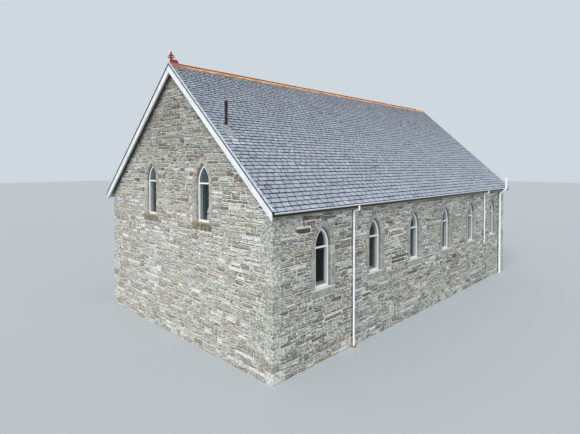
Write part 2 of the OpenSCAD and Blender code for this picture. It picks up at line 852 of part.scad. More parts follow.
// Clip round a pipe with its stem to the wall
module clip(x, s, r, z) {
    difference() {
        union() {
            translate([x, -s, z]) cylinder(clip_h, r + fit + clip_t, r + fit + clip_t);
            translate([x - clip_stem / 2, -s, z]) cube([clip_stem, s - half_w, clip_h]);
        }
        translate([x, -s, z - eps]) cylinder(clip_h + 2 * eps, r + fit, r + fit);
    }
}

// The soil vent pipe swings out at 45 degrees, clear of the fascia and the gutter
vent_pipe_x = half_l - vent_x;
vent_wall_s = half_w + pipe_gap + vent_r;
vent_clear = 4.5;
vent_out_s = gutter_s + gutter_r + vent_r + 20;
under_fascia = fascia_low - sqrt(2) * (vent_r + vent_clear) - (eaves_s - vent_wall_s);
under_gutter = gutter_z - sqrt(2) * (gutter_r + vent_r + vent_clear) - (gutter_s - vent_wall_s);
vent_bend_z = min(under_fascia, under_gutter);

// Levels of the clips: the first above the ground, the last below the bends, one between
clip_low = 500;
clip_below = 350;
clip_top = neck_z - neck_drop - clip_below;
vent_clip_low = 900;
vent_clip_top = vent_bend_z - clip_below;
broken_clip = 60;

module pipe_clips() {
    color("#e6eaec") {
        for (z = [clip_low, (clip_low + clip_top) / 2, clip_top]) {
            clip(near_x, pipe_s, pipe_r, z);
            to_left() clip(near_x, pipe_s, pipe_r, z);
            to_left() clip(far_x, pipe_s, pipe_r, z);
        }
        for (z = [broken_z + broken_clip, clip_top]) clip(far_x, pipe_s, pipe_r, z);
        for (z = [vent_clip_low, (vent_clip_low + vent_clip_top) / 2, vent_clip_top])
            clip(vent_pipe_x, vent_wall_s, vent_r, z);
    }
}

// Clay gully collars that receive the feet of the downpipes
module gully_collars() {
    color("#a8583a") for (p = [[near_x, 0], [near_x, 1], [far_x, 1]])
        mirror([0, p[1], 0]) translate([p[0], -half_w - collar_r - fit, 0])
            cylinder(collar_h, collar_r, collar_r);
}

module vent_pipe() {
    x = vent_pipe_x;
    rise = vent_out_s - vent_wall_s;
    color("#f2f4f6") difference() {
        bent_pipe([[x, vent_wall_s, 0], [x, vent_wall_s, vent_bend_z], [x, vent_out_s, vent_bend_z + rise],
            [x, vent_out_s, vent_top]], vent_r);
        translate([x, -vent_out_s, vent_top - bore_d])
            cylinder(bore_d + eps, vent_r - pipe_t, vent_r - pipe_t);
    }
}

// Flue: its foot on the slates, its wall, and how far its collar stands out
flue_at = -half_l + flue_x;
flue_foot_z = roof_z(flue_y, slate_tail);
flue_t = 6;
flue_collar_out = 8;

// All that lies below the top of the slates round the flue
module below_slates(w) {
    along_right(flue_at - w, flue_at + w) slope_band(flue_y - w, flue_y + w, -far, slate_tail);
}

// Flue pipe with a wider collar at its open top
module flue_pipe() {
    top = flue_foot_z + flue_h;
    color("#4b2a26") difference() {
        translate([flue_at, -flue_y, 0]) {
            translate([0, 0, flue_foot_z - flue_r]) cylinder(flue_h + flue_r, flue_r, flue_r);
            translate([0, 0, top - flue_collar_h])
                cylinder(flue_collar_h, flue_r + flue_collar_out, flue_r + flue_collar_out);
        }
        translate([flue_at, -flue_y, flue_foot_z]) cylinder(flue_h + eps, flue_r - flue_t, flue_r - flue_t);
        below_slates(4 * flue_r);
    }
}

lead_t = 4;
lead_side = 170;
lead_up = 180;
lead_down = 260;
lead_sleeve_h = 110;

// Lead slate dressed round the flue, with a sleeve up the pipe
module flue_flashing() {
    r = flue_r + fit + lead_t;
    color("#b9bcbc") difference() {
        union() {
            along_right(flue_at - lead_side, flue_at + lead_side)
                slope_band(flue_y - lead_up, flue_y + lead_down, slate_tail, slate_tail + lead_t);
            translate([flue_at, -flue_y, flue_foot_z - flue_r]) cylinder(flue_r + lead_sleeve_h, r, r);
        }
        translate([flue_at, -flue_y, 0]) cylinder(far, flue_r + fit, flue_r + fit);
        below_slates(4 * flue_r);
    }
}

right_wall();
right_wall_head();
left_wall();
left_wall_head();
front_gable_wall();
front_gable_top();
rear_gable_wall();
rear_gable_top();
side_jambs();
side_arches();
side_sills();
gable_jambs();
gable_arches();
gable_sills();
side_frames();
gable_frames();
side_glass();
gable_glass();
door_frame();
door_leaves();
door_threshold();
floor_boards();
floor_joists();
sleeper_walls();
wall_plates();
rafters();
collars();
ridge_board();
roof_boards();
slates();
ridge_tiles();
ridge_block();
finial();
bargeboards();
verge_strips();
verge_battens();
fascias();
eaves_soffits();
gutters();
downpipes();
pipe_clips();
gully_collars();
vent_pipe();
flue_pipe();
flue_flashing();
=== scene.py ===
import math
import random
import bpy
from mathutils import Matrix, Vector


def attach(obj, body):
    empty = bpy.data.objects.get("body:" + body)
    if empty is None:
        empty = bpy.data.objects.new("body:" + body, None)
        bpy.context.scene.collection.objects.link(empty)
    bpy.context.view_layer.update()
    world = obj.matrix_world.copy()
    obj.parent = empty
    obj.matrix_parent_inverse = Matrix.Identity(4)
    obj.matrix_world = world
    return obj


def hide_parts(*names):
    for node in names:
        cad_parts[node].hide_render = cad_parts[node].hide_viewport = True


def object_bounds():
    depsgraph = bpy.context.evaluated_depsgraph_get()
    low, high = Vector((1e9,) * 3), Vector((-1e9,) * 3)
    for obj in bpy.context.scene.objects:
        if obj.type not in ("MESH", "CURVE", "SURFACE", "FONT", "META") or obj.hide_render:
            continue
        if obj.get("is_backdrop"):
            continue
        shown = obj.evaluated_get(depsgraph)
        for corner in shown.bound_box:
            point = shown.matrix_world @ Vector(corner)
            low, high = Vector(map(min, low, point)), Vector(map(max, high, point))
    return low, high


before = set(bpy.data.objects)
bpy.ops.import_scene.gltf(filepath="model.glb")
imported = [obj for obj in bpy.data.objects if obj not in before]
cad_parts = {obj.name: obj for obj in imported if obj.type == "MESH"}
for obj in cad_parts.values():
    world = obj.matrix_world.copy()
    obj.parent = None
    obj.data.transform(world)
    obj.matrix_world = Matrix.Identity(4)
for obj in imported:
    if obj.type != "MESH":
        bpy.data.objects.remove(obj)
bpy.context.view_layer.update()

from types import SimpleNamespace

import bmesh
import bpy
import numpy as np
from mathutils import Vector


# Rubble walls: thin flat local stones laid in rough courses, bedded in lime and pointed wide
# and almost flush. The solids of the walls carry the pointing outside and plaster inside, and
# each stone is a block of its own with worn edges that stands a few millimetres out.
wall_x = 8.725
wall_y = 4.870
lancet_half = 0.315
lancet_rise = 0.550
side_sill = 2.180
side_spring = 3.402
gable_sill = 3.997
gable_spring = 5.248
door_half = 0.650
door_rise = 0.900
door_sill = 0.850
door_spring = 2.350
pitch = math.radians(41.9)
ridge = 9.1696
side_windows = [-6.670, -3.925, -1.180, 1.565, 4.310, 7.055]
gable_windows = [-1.640, 1.640]
wall_top = 4.50
soffit = 4.43
sill_high = 0.235
threshold_high = 0.180

# Along the right wall: where the painted shade behind each pipe is, how high it begins, half its width
shade_behind_pipes = ((-5.240, 0.0, 0.060), (5.800, 1.90, 0.060), (7.940, 0.0, 0.085))


def linear(code):
    """A colour written as sRGB hex, as the linear values that Blender works with."""
    channels = [int(code[i:i + 2], 16) / 255 for i in (1, 3, 5)]
    return [c / 12.92 if c <= 0.04045 else ((c + 0.055) / 1.055) ** 2.4 for c in channels] + [1.0]


def add_node(tree, kind, inputs, out=0, stops=(), **settings):
    """Adds one node with its settings, values and links, and hands back one of its outputs."""
    made = tree.nodes.new("ShaderNode" + kind)
    for name, value in settings.items():
        setattr(made, name, value)
    for key, value in inputs.items():
        if isinstance(value, bpy.types.NodeSocket):
            tree.links.new(value, made.inputs[key])
        else:
            made.inputs[key].default_value = value
    for i, (place, code) in enumerate(stops):
        stop = made.color_ramp.elements[i] if i < 2 else made.color_ramp.elements.new(place)
        stop.position = place
        stop.color = linear(code)
    return made.outputs[out]


# The settings of a node that lays one colour over another, and of one that multiplies them
blend = {"out": 2, "data_type": "RGBA"}
multiply = {"out": 2, "data_type": "RGBA", "blend_type": "MULTIPLY"}


def start_material(name, **values):
    """A new material with its own shader set, and the place on the object that patterns read."""
    material = bpy.data.materials.new(name)
    material.use_nodes = True
    tree = material.node_tree
    surface = tree.nodes["Principled BSDF"]
    for key, value in values.items():
        surface.inputs[key.replace("_", " ")].default_value = value
    return material, tree, surface, add_node(tree, "TexCoord", {}, out=3)


def measure(tree, place):
    """A point's way along, across and up, and how far it is from the middle of the chapel."""
    x, y, z = (add_node(tree, "SeparateXYZ", {0: place}, out=i) for i in range(3))
    off_x, off_y = (add_node(tree, "Math", {0: way}, operation="ABSOLUTE") for way in (x, y))
    return SimpleNamespace(x=x, y=y, z=z, off_x=off_x, off_y=off_y)


def shaded(tree, colour, pattern, low, high, dark, light):
    """A colour darkened and lightened as a pattern goes from a low value to a high one."""
    share = add_node(tree, "MapRange", {0: pattern, 1: low, 2: high, 3: dark, 4: light})
    return add_node(tree, "Mix", {0: 1.0, 6: colour, 7: share}, **multiply)


def coat(tree, surface, colour, relief=None, strength=0.0, depth=0.0):
    """Gives a shader its colour, and where there is one the relief, with its depth in metres."""
    tree.links.new(colour, surface.inputs["Base Color"])
    if relief is not None:
        bump = add_node(tree, "Bump", {"Height": relief, "Strength": strength, "Distance": depth})
        tree.links.new(bump, surface.inputs["Normal"])


def dress(material, *names):
    """Gives solids of the frame their material."""
    for name in names:
        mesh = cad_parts[name].data
        mesh.materials.clear()
        mesh.materials.append(material)


def painted_wall_shade(tree, place, colour):
    """Paints shade on masonry under eaves and verges and behind pipes, and darkens the gables higher up, partly
    as shade.
    """
    at = measure(tree, place)
    on_gable = add_node(tree, "Math", {0: at.off_x, 1: wall_x - 0.01}, operation="GREATER_THAN")
    on_side = add_node(tree, "Math", {0: at.off_y, 1: wall_y - 0.01}, operation="GREATER_THAN")
    on_right = add_node(tree, "Math", {0: at.y, 1: 0.01 - wall_y}, operation="LESS_THAN")
    # Painted shade: the gables darker higher up, partly as shade under the verges, and darker again just under
    # the rake
    rise = add_node(tree, "MapRange", {0: at.z, 1: 4.6, 2: 7.0, 3: 0.0, 4: 0.30})
    level = add_node(tree, "Math", {0: at.off_y, 1: math.tan(pitch), 2: at.z}, operation="MULTIPLY_ADD")
    rake = add_node(tree, "MapRange", {0: level, 1: ridge - 0.24, 2: ridge - 0.12, 3: 0.0, 4: 0.60})
    high = add_node(tree, "Math", {0: rise, 1: rake}, operation="MAXIMUM")
    gable_dark = add_node(tree, "Math", {0: high, 1: on_gable}, operation="MULTIPLY")
    # Painted shade on the side walls just under the eaves
    eaves = add_node(tree, "MapRange", {0: at.z, 1: soffit - 0.10, 2: soffit, 3: 0.0, 4: 0.62})
    side_dark = add_node(tree, "Math", {0: eaves, 1: on_side}, operation="MULTIPLY")
    dark = add_node(tree, "Math", {0: gable_dark, 1: side_dark}, operation="MAXIMUM")
    for pipe_x, foot, reach in shade_behind_pipes:
        # Painted shade: the wall behind each pipe, which shows beside it
        away = add_node(tree, "Math", {0: at.x, 1: pipe_x}, operation="SUBTRACT")
        away = add_node(tree, "Math", {0: away}, operation="ABSOLUTE")
        shade = add_node(tree, "MapRange", {0: away, 1: reach, 2: reach * 0.5, 3: 0.0, 4: 0.62})
        above = add_node(tree, "Math", {0: at.z, 1: foot}, operation="GREATER_THAN")
        shade = add_node(tree, "Math", {0: shade, 1: above}, operation="MULTIPLY")
        shade = add_node(tree, "Math", {0: shade, 1: on_right}, operation="MULTIPLY")
        dark = add_node(tree, "Math", {0: dark, 1: shade}, operation="MAXIMUM")
    shade_tone = add_node(tree, "Mix", {0: 1.0, 6: colour, 7: linear("#5b5a50")}, **multiply)
    return add_node(tree, "Mix", {0: dark, 6: colour, 7: shade_tone}, **blend)


def plastered(tree, place, colour, depth, code):
    """Turns to plaster what lies deeper in the walls than a depth."""
    at = measure(tree, place)
    in_x = add_node(tree, "Math", {0: at.off_x, 1: wall_x - depth}, operation="LESS_THAN")
    in_y = add_node(tree, "Math", {0: at.off_y, 1: wall_y - depth}, operation="LESS_THAN")
    inside = add_node(tree, "Math", {0: in_x, 1: in_y}, operation="MULTIPLY")
    return add_node(tree, "Mix", {0: inside, 6: colour, 7: linear(code)}, **blend)


# The outer faces: name, foot of the middle, the way it runs, the way it looks, half its length
faces = {
    "right": ((0, -wall_y, 0), (1, 0, 0), (0, -1, 0), wall_x),
    "left": ((0, wall_y, 0), (-1, 0, 0), (0, 1, 0), wall_x),
    "front": ((-wall_x, 0, 0), (0, -1, 0), (-1, 0, 0), wall_y),
    "rear": ((wall_x, 0, 0), (0, 1, 0), (1, 0, 0), wall_y),
}

# Heights of the quoins from the ground up, and how far long and short ones reach
quoin_levels = [0.0]
pick = random.Random(4)
while quoin_levels[-1] < 4.15:
    quoin_levels.append(quoin_levels[-1] + pick.uniform(0.27, 0.42))
quoin_levels[-1] = 4.455
quoin_long = 0.47
quoin_short = 0.29


def place_on(face, middle, points):
    """Takes places given as along, up and out on a face to the frame."""
    origin, along, out, half = faces[face]
    points = np.asarray(points, float)
    return (np.array(origin) + (points[..., :1] + middle) * np.array(along)
            + points[..., 1:2] * np.array((0.0, 0.0, 1.0)) + points[..., 2:3] * np.array(out))


def assemble(name, parts):
    """One piece from parts, each given as its points, its faces and its colour at each point."""
    rows = []
    start = 0
    for points, loops, tints in parts:
        rows += [[i + start for i in loop] for loop in loops]
        start += len(points)
    mesh = bpy.data.meshes.new(name)
    mesh.from_pydata(np.concatenate([part[0] for part in parts]).tolist(), [], rows)
    tint = mesh.color_attributes.new("tint", "FLOAT_COLOR", "POINT")
    tint.data.foreach_set("color", np.concatenate([part[2] for part in parts]).ravel())
    made = bpy.data.objects.new(name, mesh)
    bpy.context.scene.collection.objects.link(made)
    return made


def hang(piece, material, slot, *nodes):
    """Gives a piece its material, and hides the solids of the frame that it stands for. The slot is not used.
    """
    piece.data.materials.clear()
    piece.data.materials.append(material)
    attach(piece, "root")
    if nodes:
        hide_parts(*nodes)


def quoin_reach(face, low, high):
    """How far from the corner the quoins beside a course reach, at the least."""
    reach = []
    for i in range(len(quoin_levels) - 1):
        if quoin_levels[i] < high and quoin_levels[i + 1] > low:
            long_here = (i % 2 == 0) == (face in ("right", "left"))
            reach.append(quoin_long if long_here else quoin_short)
    return min(reach) if reach else 0.0


def arch_half(half, rise, spring, grow, z):
    """Half the width of a pointed arch, grown by a ring, at a height."""
    radius = (rise * rise + half * half) / (2 * half)
    up = z - spring
    if up >= radius + grow:
        return 0.0
    return max(0.0, half - radius + math.sqrt((radius + grow) ** 2 - up * up))


def closed_spans(face, low, high):
    """What windows, doorway and their dressed stones take out of a course, along the wall."""
    spans = []
    if face in ("right", "left"):
        holes = [(x if face == "right" else -x, lancet_half, lancet_rise, side_sill, side_spring, sill_high)
                 for x in side_windows]
    else:
        holes = [(y, lancet_half, lancet_rise, gable_sill, gable_spring, sill_high) for y in gable_windows]
        if face == "rear":
            holes.append((0.0, door_half, door_rise, door_sill, door_spring, threshold_high))
    beside_sill, beside_jamb, over_arch = 0.200, 0.155, 0.165
    for middle, half, rise, sill, spring, under in holes:
        if high > sill - under + 0.03 and low < sill:
            spans.append((middle - half - beside_sill, middle + half + beside_sill))
        if high > sill and low < spring:
            spans.append((middle - half - beside_jamb, middle + half + beside_jamb))
        if high > spring:
            reach = arch_half(half, rise, spring, over_arch, high)
            if reach > 0:
                spans.append((middle - reach, middle + reach))
    return spans


def course_plan(face, heights, seed, marked):
    """Stones of one wall as left, right, bottom and top, from the ground up."""
    half = faces[face][3]
    shortest, longest, least_rest = 0.16, 0.82, 0.14
    pick = random.Random(seed)
    stones = []
    carried = []
    low = 0.0
    top = ridge if face in ("front", "rear") else wall_top
    while low < top - 0.06:
        height = pick.choice(heights)
        high = min(low + height, top)
        reach = half - max(0.0, quoin_reach(face, low, high) - 0.015)
        if face in ("front", "rear"):
            reach = min(reach, (ridge - 0.06 - high) / math.tan(pitch))
        taken = sorted(s for s in closed_spans(face, low, high) + carried if s[1] > -reach and s[0] < reach)
        carried = []
        start = -reach
        free = []
        for left, right in taken:
            if left > start:
                free.append((start, left))
            start = max(start, right)
        if start < reach:
            free.append((start, reach))
        for left, right in free:
            at = left
            while right - at > 0.05:
                length = min(longest, max(shortest, pick.lognormvariate(-1.02, 0.42)))
                if right - at - length < least_rest:
                    length = right - at
                if length > longest + 0.04:
                    length = length / 2
                draw = pick.random()
                clear = abs(at) < reach - 0.5 and abs(at + length) < reach - 0.5
                tall = draw > 0.92 and length < 0.55 and clear
                blocked = closed_spans(face, high, high + 0.12)
                if tall and all(at + length < a or at > b for a, b in blocked) and high + 0.3 < top:
                    stones.append((at, at + length, low, high + 0.085))
                    carried.append((at, at + length))
                elif draw < 0.13 and height > 0.11 and length > 0.22:
                    split = low + height * pick.uniform(0.38, 0.62)
                    cut = length * pick.uniform(0.35, 0.65)
                    stones.append((at, at + length, low, split))
                    if length > 0.45:
                        stones.append((at, at + cut, split, high))
                        stones.append((at + cut, at + length, split, high))
                    else:
                        stones.append((at, at + length, split, high))
                else:
                    stones.append((at, at + length, low, high))
                at += length
        low = high
    for set_left, set_right, set_low, set_high, _ in marked:
        kept = []
        for left, right, low, high in stones:
            over = min(high, set_high) - max(low, set_low)
            if right <= set_left or left >= set_right or over < 0.035:
                kept.append((left, right, low, high))
                continue
            if set_left - left > 0.10:
                kept.append((left, set_left, low, high))
            if right - set_right > 0.10:
                kept.append((set_right, right, low, high))
        stones = kept + [(set_left, set_right, set_low, set_high)]
    return stones


# Weathered flagstone and sandstone: dull, with bedding lines, a mottle of 45 mm and lime left
# on the faces, so a stone is never one flat tone. The lines are some 15 mm apart on the real
# stones, and drawn 25 mm apart so that they show
stone, tree, surface, place = start_material("weathered rubble stone", Roughness=0.88, IOR=1.5)
tint = add_node(tree, "Attribute", {}, attribute_name="tint")
lime_left = add_node(tree, "Attribute", {}, out=3, attribute_name="tint")
squeezed = add_node(tree, "Mapping", {0: place, 3: (4, 4, 40)})
beds = add_node(tree, "TexNoise", {"Vector": squeezed, "Scale": 1.0, "Detail": 5.0, "Roughness": 0.6})
mottle = add_node(tree, "TexNoise", {"Vector": place, "Scale": 22.0, "Detail": 5.0, "Roughness": 0.7})
toned = shaded(tree, tint, beds, 0.36, 0.62, 0.50, 1.22)
toned = shaded(tree, toned, mottle, 0.36, 0.64, 0.42, 1.36)
mineral = add_node(tree, "TexNoise", {"Vector": place, "Scale": 11.0, "Detail": 4.0, "Roughness": 0.6})
mineral = add_node(tree, "ValToRGB", {0: mineral}, stops=[(0.38, "#e0e1df"), (0.62, "#fffcf3")])
toned = add_node(tree, "Mix", {0: 1.0, 6: toned, 7: mineral}, **multiply)
smear = add_node(tree, "TexNoise", {"Vector": place, "Scale": 15.0, "Detail": 6.0, "Roughness": 0.7})
smear = add_node(tree, "Math", {0: smear, 1: lime_left}, operation="ADD")
smear = add_node(tree, "MapRange", {0: smear, 1: 0.92, 2: 1.04, 3: 0.0, 4: 0.90})
toned = add_node(tree, "Mix", {0: smear, 6: toned, 7: linear("#efeee8")}, **blend)
relief = add_node(tree, "Math", {0: beds, 1: mottle}, operation="ADD")
coat(tree, surface, painted_wall_shade(tree, place, toned), relief, 0.8, 0.008)

# Lime pointing: near white, trowelled, pitted at 20 mm and open in short dark lines where it
# has fallen out. Behind the outer face the same walls are plastered smooth.
pointing, tree, surface, place = start_material("lime pointing and plaster", Roughness=0.92, IOR=1.5)
broad = add_node(tree, "TexNoise", {"Vector": place, "Scale": 1.7, "Detail": 5.0, "Roughness": 0.6})
fine = add_node(tree, "TexNoise", {"Vector": place, "Scale": 48.0, "Detail": 5.0, "Roughness": 0.7})
lime = add_node(tree, "ValToRGB", {0: broad}, stops=[(0.30, "#dfdfd7"), (0.70, "#f8f8f4")])
lime = shaded(tree, lime, fine, 0.36, 0.54, 0.36, 1.04)
squeezed = add_node(tree, "Mapping", {0: place, 3: (5, 5, 26)})
gaps = add_node(tree, "TexNoise", {"Vector": squeezed, "Scale": 1.0, "Detail": 4.0, "Roughness": 0.6})
gaps = add_node(tree, "MapRange", {0: gaps, 1: 0.58, 2: 0.63, 3: 0.0, 4: 0.95})
lime = add_node(tree, "Mix", {0: gaps, 6: lime, 7: linear("#4a4840")}, **blend)
lime = plastered(tree, place, painted_wall_shade(tree, place, lime), 0.02, "#dedbd2")
coat(tree, surface, lime, fine, 0.6, 0.006)
dress(pointing, "right_wall", "right_wall_head", "left_wall", "left_wall_head", "front_gable_wall",
      "front_gable_top", "rear_gable_wall", "rear_gable_top", "sleeper_walls")

greys = ["#acaea6", "#b5b6ae", "#a4a69e", "#bdbeb6", "#9c9e97", "#b0aea5", "#a9aaa3", "#93958e"]
warms = ["#b2ab9c", "#aaa394", "#bab3a4", "#a39c8d"]
browns = ["#968979", "#8a7e70", "#9f9281", "#827769"]

# Stones that stand out on the right wall: left end, right end, bottom, top and colour. The last
# is painted nearly black as the shade in a hole where a stone has gone
marked_right = [
    (-7.83, -7.22, 3.87, 4.01, "#726654"), (-7.60, -6.80, 4.22, 4.33, "#8b7f6c"),
    (-3.10, -2.10, 3.28, 3.42, "#b3a48c"), (-2.90, -1.80, 2.41, 2.53, "#7a7064"),
    (-2.90, -2.00, 2.26, 2.38, "#7f7568"), (-3.30, -2.80, 3.74, 3.86, "#84796a"),
    (-4.70, -4.20, 1.44, 1.56, "#867b6c"), (-6.30, -5.80, 1.63, 1.76, "#887d6e"),
    (-6.60, -5.80, 1.14, 1.25, "#867b6c"), (-7.20, -6.50, 0.69, 0.80, "#897e6d"),
    # Painted shade: nearly black where a stone has gone and left a hole
    (-4.165, -4.085, 0.90, 1.02, "#23221f"),
]


def bevel(shape, edges, width):
    """Cuts one flat along edges."""
    bmesh.ops.bevel(shape, geom=edges, offset=width, offset_type="OFFSET", affect="EDGES", segments=1,
                    profile=0.5, material=-1)


def take(shape):
    """Points and faces of a mesh that is done."""
    shape.verts.index_update()
    points = np.array([v.co[:] for v in shape.verts])
    loops = [[v.index for v in f.verts] for f in shape.faces]
    shape.free()
    return points, loops


# One stone, a metre across: a front with worn corners and a chamfer that dips into the pointing
shape = bmesh.new()
bmesh.ops.create_cube(shape, size=1)
upright = [e for e in shape.edges if abs(e.verts[0].co.z - e.verts[1].co.z) > 0.5]
bevel(shape, upright, 0.017)
front = [e for e in shape.edges if min(v.co.z for v in e.verts) > 0.49]
bmesh.ops.bevel(shape, geom=front, offset=0.020, offset_type="OFFSET", affect="EDGES", segments=2,
                profile=0.5, material=-1)
hidden = [f for f in shape.faces if min(v.co.z for v in f.verts) < -0.49]
bmesh.ops.delete(shape, geom=hidden, context="FACES")
stone_points, stone_loops = take(shape)
at_front = stone_points[:, 2] > 0.4995
at_rim = stone_points[:, 2] < 0.4805
corner = (stone_points[:, 0] > 0).astype(int) + 2 * (stone_points[:, 1] > 0).astype(int)
worn = 0.5 - np.abs(stone_points[:, :2])
lower = (stone_points[:, 1] < 0) & (worn[:, 1] < worn[:, 0] + 0.004)

side_heights = [0.085, 0.095, 0.10, 0.11, 0.115, 0.12, 0.13, 0.15]
gable_heights = [0.09, 0.10, 0.11, 0.12, 0.13, 0.145, 0.16]
for index, face in enumerate(faces):
    gable = face in ("front", "rear")
    pick = random.Random(50 + index)
    noise = np.random.default_rng(70 + index)
    parts = []
    marked = marked_right if face == "right" else []
    plan = course_plan(face, gable_heights if gable else side_heights, 11 + index, marked)
    for left, right, low, high in plan:
        joint = noise.uniform(0.006, 0.015, 4) * (1, 1, 0.5, 1)
        size = np.array((right - left - joint[0] - joint[1], high - low - joint[2] - joint[3]))
        middle = np.array((left + joint[0] + right - joint[1], low + high + joint[2] - joint[3])) / 2
        inset = worn * noise.uniform(0.7, 1.6) * np.where(lower, 1.5, 0.85)[:, None]
        inset = np.minimum(inset, size * 0.40)
        flat = np.sign(stone_points[:, :2]) * (size / 2 - inset)
        flat += (noise.uniform(-1, 1, (4, 2)) * np.minimum(size * 0.15, 0.013))[corner]
        flat += middle
        flat[:, 1] += 0.018 * math.sin(0.9 * middle[0] + 0.6 * middle[1]) * (low > 0.15)
        flat[:, 1] = np.maximum(flat[:, 1], 0.002)
        proud = noise.uniform(0.004, 0.008) + noise.uniform(-0.0015, 0.0015, 4)[corner]
        out = np.where(at_front, proud, np.where(at_rim, -0.003, 0.003))
        draw = pick.random()
        if gable:
            brown, warm = (0.02, 0.38) if low < 3.4 else (0.11, 0.62)
        else:
            brown, warm = 0.06, 0.26
        if draw < brown:
            tone, smear = linear(pick.choice(browns)), pick.uniform(0.20, 0.42)
        elif draw < warm:
            tone, smear = linear(pick.choice(warms)), pick.uniform(0.28, 0.50)
        else:
            tone, smear = linear(pick.choice(greys)), pick.uniform(0.28, 0.56)
        for set_left, set_right, set_low, set_high, code in marked:
            if (left, right, low, high) == (set_left, set_right, set_low, set_high):
                tone, smear = linear(code), 0.10
        if gable and low < 4.4:
            smear += 0.03
            tone = 0.55 * np.array(tone) + 0.45 * np.array(linear("#bdb5a8"))
        # Painted shade: the side walls' stones are made darker than the gables' for the side walls' lesser
        # light
        strength = pick.uniform(0.84, 1.14) * (1.42 if gable else 1.16)
        # Painted shade: each stone's chamfer and sides darkened, most along its lower edge, as shade in the
        # joints
        shadow = np.where(at_front, noise.uniform(0.90, 1.08, 4)[corner],
                          np.where(lower, np.where(at_rim, 0.04, 0.10), np.where(at_rim, 0.13, 0.42)))
        tints = np.ones((len(flat), 4))
        tints[:, :3] = np.array(tone[:3]) * strength * shadow[:, None]
        tints[:, 3] = np.where(at_front, smear, smear - 0.25)
        parts.append((place_on(face, 0.0, np.column_stack([flat, out])), stone_loops, tints))
    hang(assemble("rubble_" + face, parts), stone, "rubble")


# Quoins: squared grey sandstone blocks at the four corners, long and short in turn, rough-faced
# like the rubble and just out of the pointing. Each is one block round its corner.
quoin_codes = ["#abada8", "#b5b6b0", "#a5a7a2", "#bbbcb6", "#afafa8"]
pick = random.Random(21)
parts = []
shape = bmesh.new()
bmesh.ops.create_cube(shape, size=1)
bevel(shape, shape.edges[:], 0.018)
block_points, block_loops = take(shape)
worn = 0.5 - np.abs(block_points)
in_joint = worn[:, 2] < 0.005
for turn_x in (-1, 1):
    for turn_y in (-1, 1):
        for i in range(len(quoin_levels) - 1):
            reach_x, reach_y = (quoin_long, quoin_short) if i % 2 == 0 else (quoin_short, quoin_long)
            proud = 0.011 + pick.uniform(-0.0015, 0.0015)
            inner_x = wall_x - reach_x + pick.uniform(-0.04, 0.04)
            inner_y = wall_y - reach_y + pick.uniform(-0.04, 0.04)
            ends_x = sorted((turn_x * (wall_x + proud), turn_x * inner_x))
            ends_y = sorted((turn_y * (wall_y + proud), turn_y * inner_y))
            low = np.array((ends_x[0], ends_y[0], quoin_levels[i] + 0.006 * (i > 0)))
            high = np.array((ends_x[1], ends_y[1], quoin_levels[i + 1] - 0.006))
            points = np.sign(block_points) * ((high - low) / 2 - worn) + (low + high) / 2
            tints = np.tile(linear(pick.choice(quoin_codes)), (len(points), 1)) * pick.uniform(1.14, 1.38)
            tints[:, :3] *= np.where(in_joint, 0.25, 1.0)[:, None]
            tints[:, 3] = pick.uniform(0.34, 0.48)
            parts.append((points, block_loops, tints))
hang(assemble("quoins", parts), stone, "dressed_stone")


# Window margins: dressed jamb stones laid long and short, and pointed arches of cut stones
# with radial joints, bedded 240 mm into the wall and chamfered all round, as at the doorway.

# Tooled sandstone: matt and even, with a grain of 15 mm and a soft mottle of 150 mm. The
# reveals behind the window frames are plastered with the splays
dressed, tree, surface, place = start_material("tooled grey sandstone", Roughness=0.85, IOR=1.5)
tint = add_node(tree, "Attribute", {}, attribute_name="tint")
broad = add_node(tree, "TexNoise", {"Vector": place, "Scale": 7.0, "Detail": 6.0, "Roughness": 0.65})
fine = add_node(tree, "TexNoise", {"Vector": place, "Scale": 60.0, "Detail": 4.0, "Roughness": 0.7})
toned = shaded(tree, tint, broad, 0.34, 0.66, 0.62, 1.26)
toned = shaded(tree, toned, fine, 0.34, 0.66, 0.84, 1.10)
toned = plastered(tree, place, painted_wall_shade(tree, place, toned), 0.145, "#eef8fb")
coat(tree, surface, toned, fine, 0.5, 0.004)

margin_back = -0.240
margin_front = 0.012
chamfer = 0.072
ring = 0.225
wear = 0.006
margin_codes = ["#adaea7", "#b4b5ae", "#a6a7a0", "#babab3", "#adaba2"]


def jambs(face, middle, half, sill, spring, pick):
    """Both jambs of an opening, stone by stone."""
    made = []
    rows = max(3, round((spring - sill) / 0.33))
    height = (spring - sill) / rows
    for side in (-1, 1):
        long_first = pick.random() < 0.5
        for row in range(rows):
            width = 0.205 if (row % 2 == 0) == long_first else 0.275 + pick.uniform(-0.03, 0.03)
            low = Vector((half, sill + row * height + 0.003, margin_back))
            high = Vector((half + width, sill + (row + 1) * height - 0.003, margin_front))
            shape = bmesh.new()
            bmesh.ops.create_cube(shape, size=1)
            bmesh.ops.scale(shape, vec=high - low, verts=shape.verts[:])
            bmesh.ops.translate(shape, vec=(low + high) / 2, verts=shape.verts[:])
            inner = [e for e in shape.edges
                     if all(abs(v.co.x - low.x) < 1e-5 and abs(v.co.z - high.z) < 1e-5 for v in e.verts)]
            bevel(shape, inner, chamfer)
            front = [e for e in shape.edges if all(abs(v.co.z - high.z) < 1e-5 for v in e.verts)]
            bevel(shape, front, wear)
            if side < 0:
                bmesh.ops.scale(shape, vec=(-1, 1, 1), verts=shape.verts[:])
                bmesh.ops.reverse_faces(shape, faces=shape.faces[:])
            points, loops = take(shape)
            edge = (points[:, 2] < margin_front - 0.004) & (np.abs(points[:, 0]) > half + chamfer)
            sunk = (points[:, 2] < margin_front - 0.004) & (np.abs(points[:, 0]) < half + 0.002)
            tints = np.tile(linear(pick.choice(margin_codes)), (len(points), 1)) * pick.uniform(0.92, 1.08)
            # Painted shade, partly dirt: the stone darkened where it runs back into the reveal
            tints[:, :3] *= (np.where(edge, 0.45, 1.0) * np.where(sunk, 0.50, 1.0))[:, None]
            made.append((place_on(face, middle, points), loops, tints))
    return made


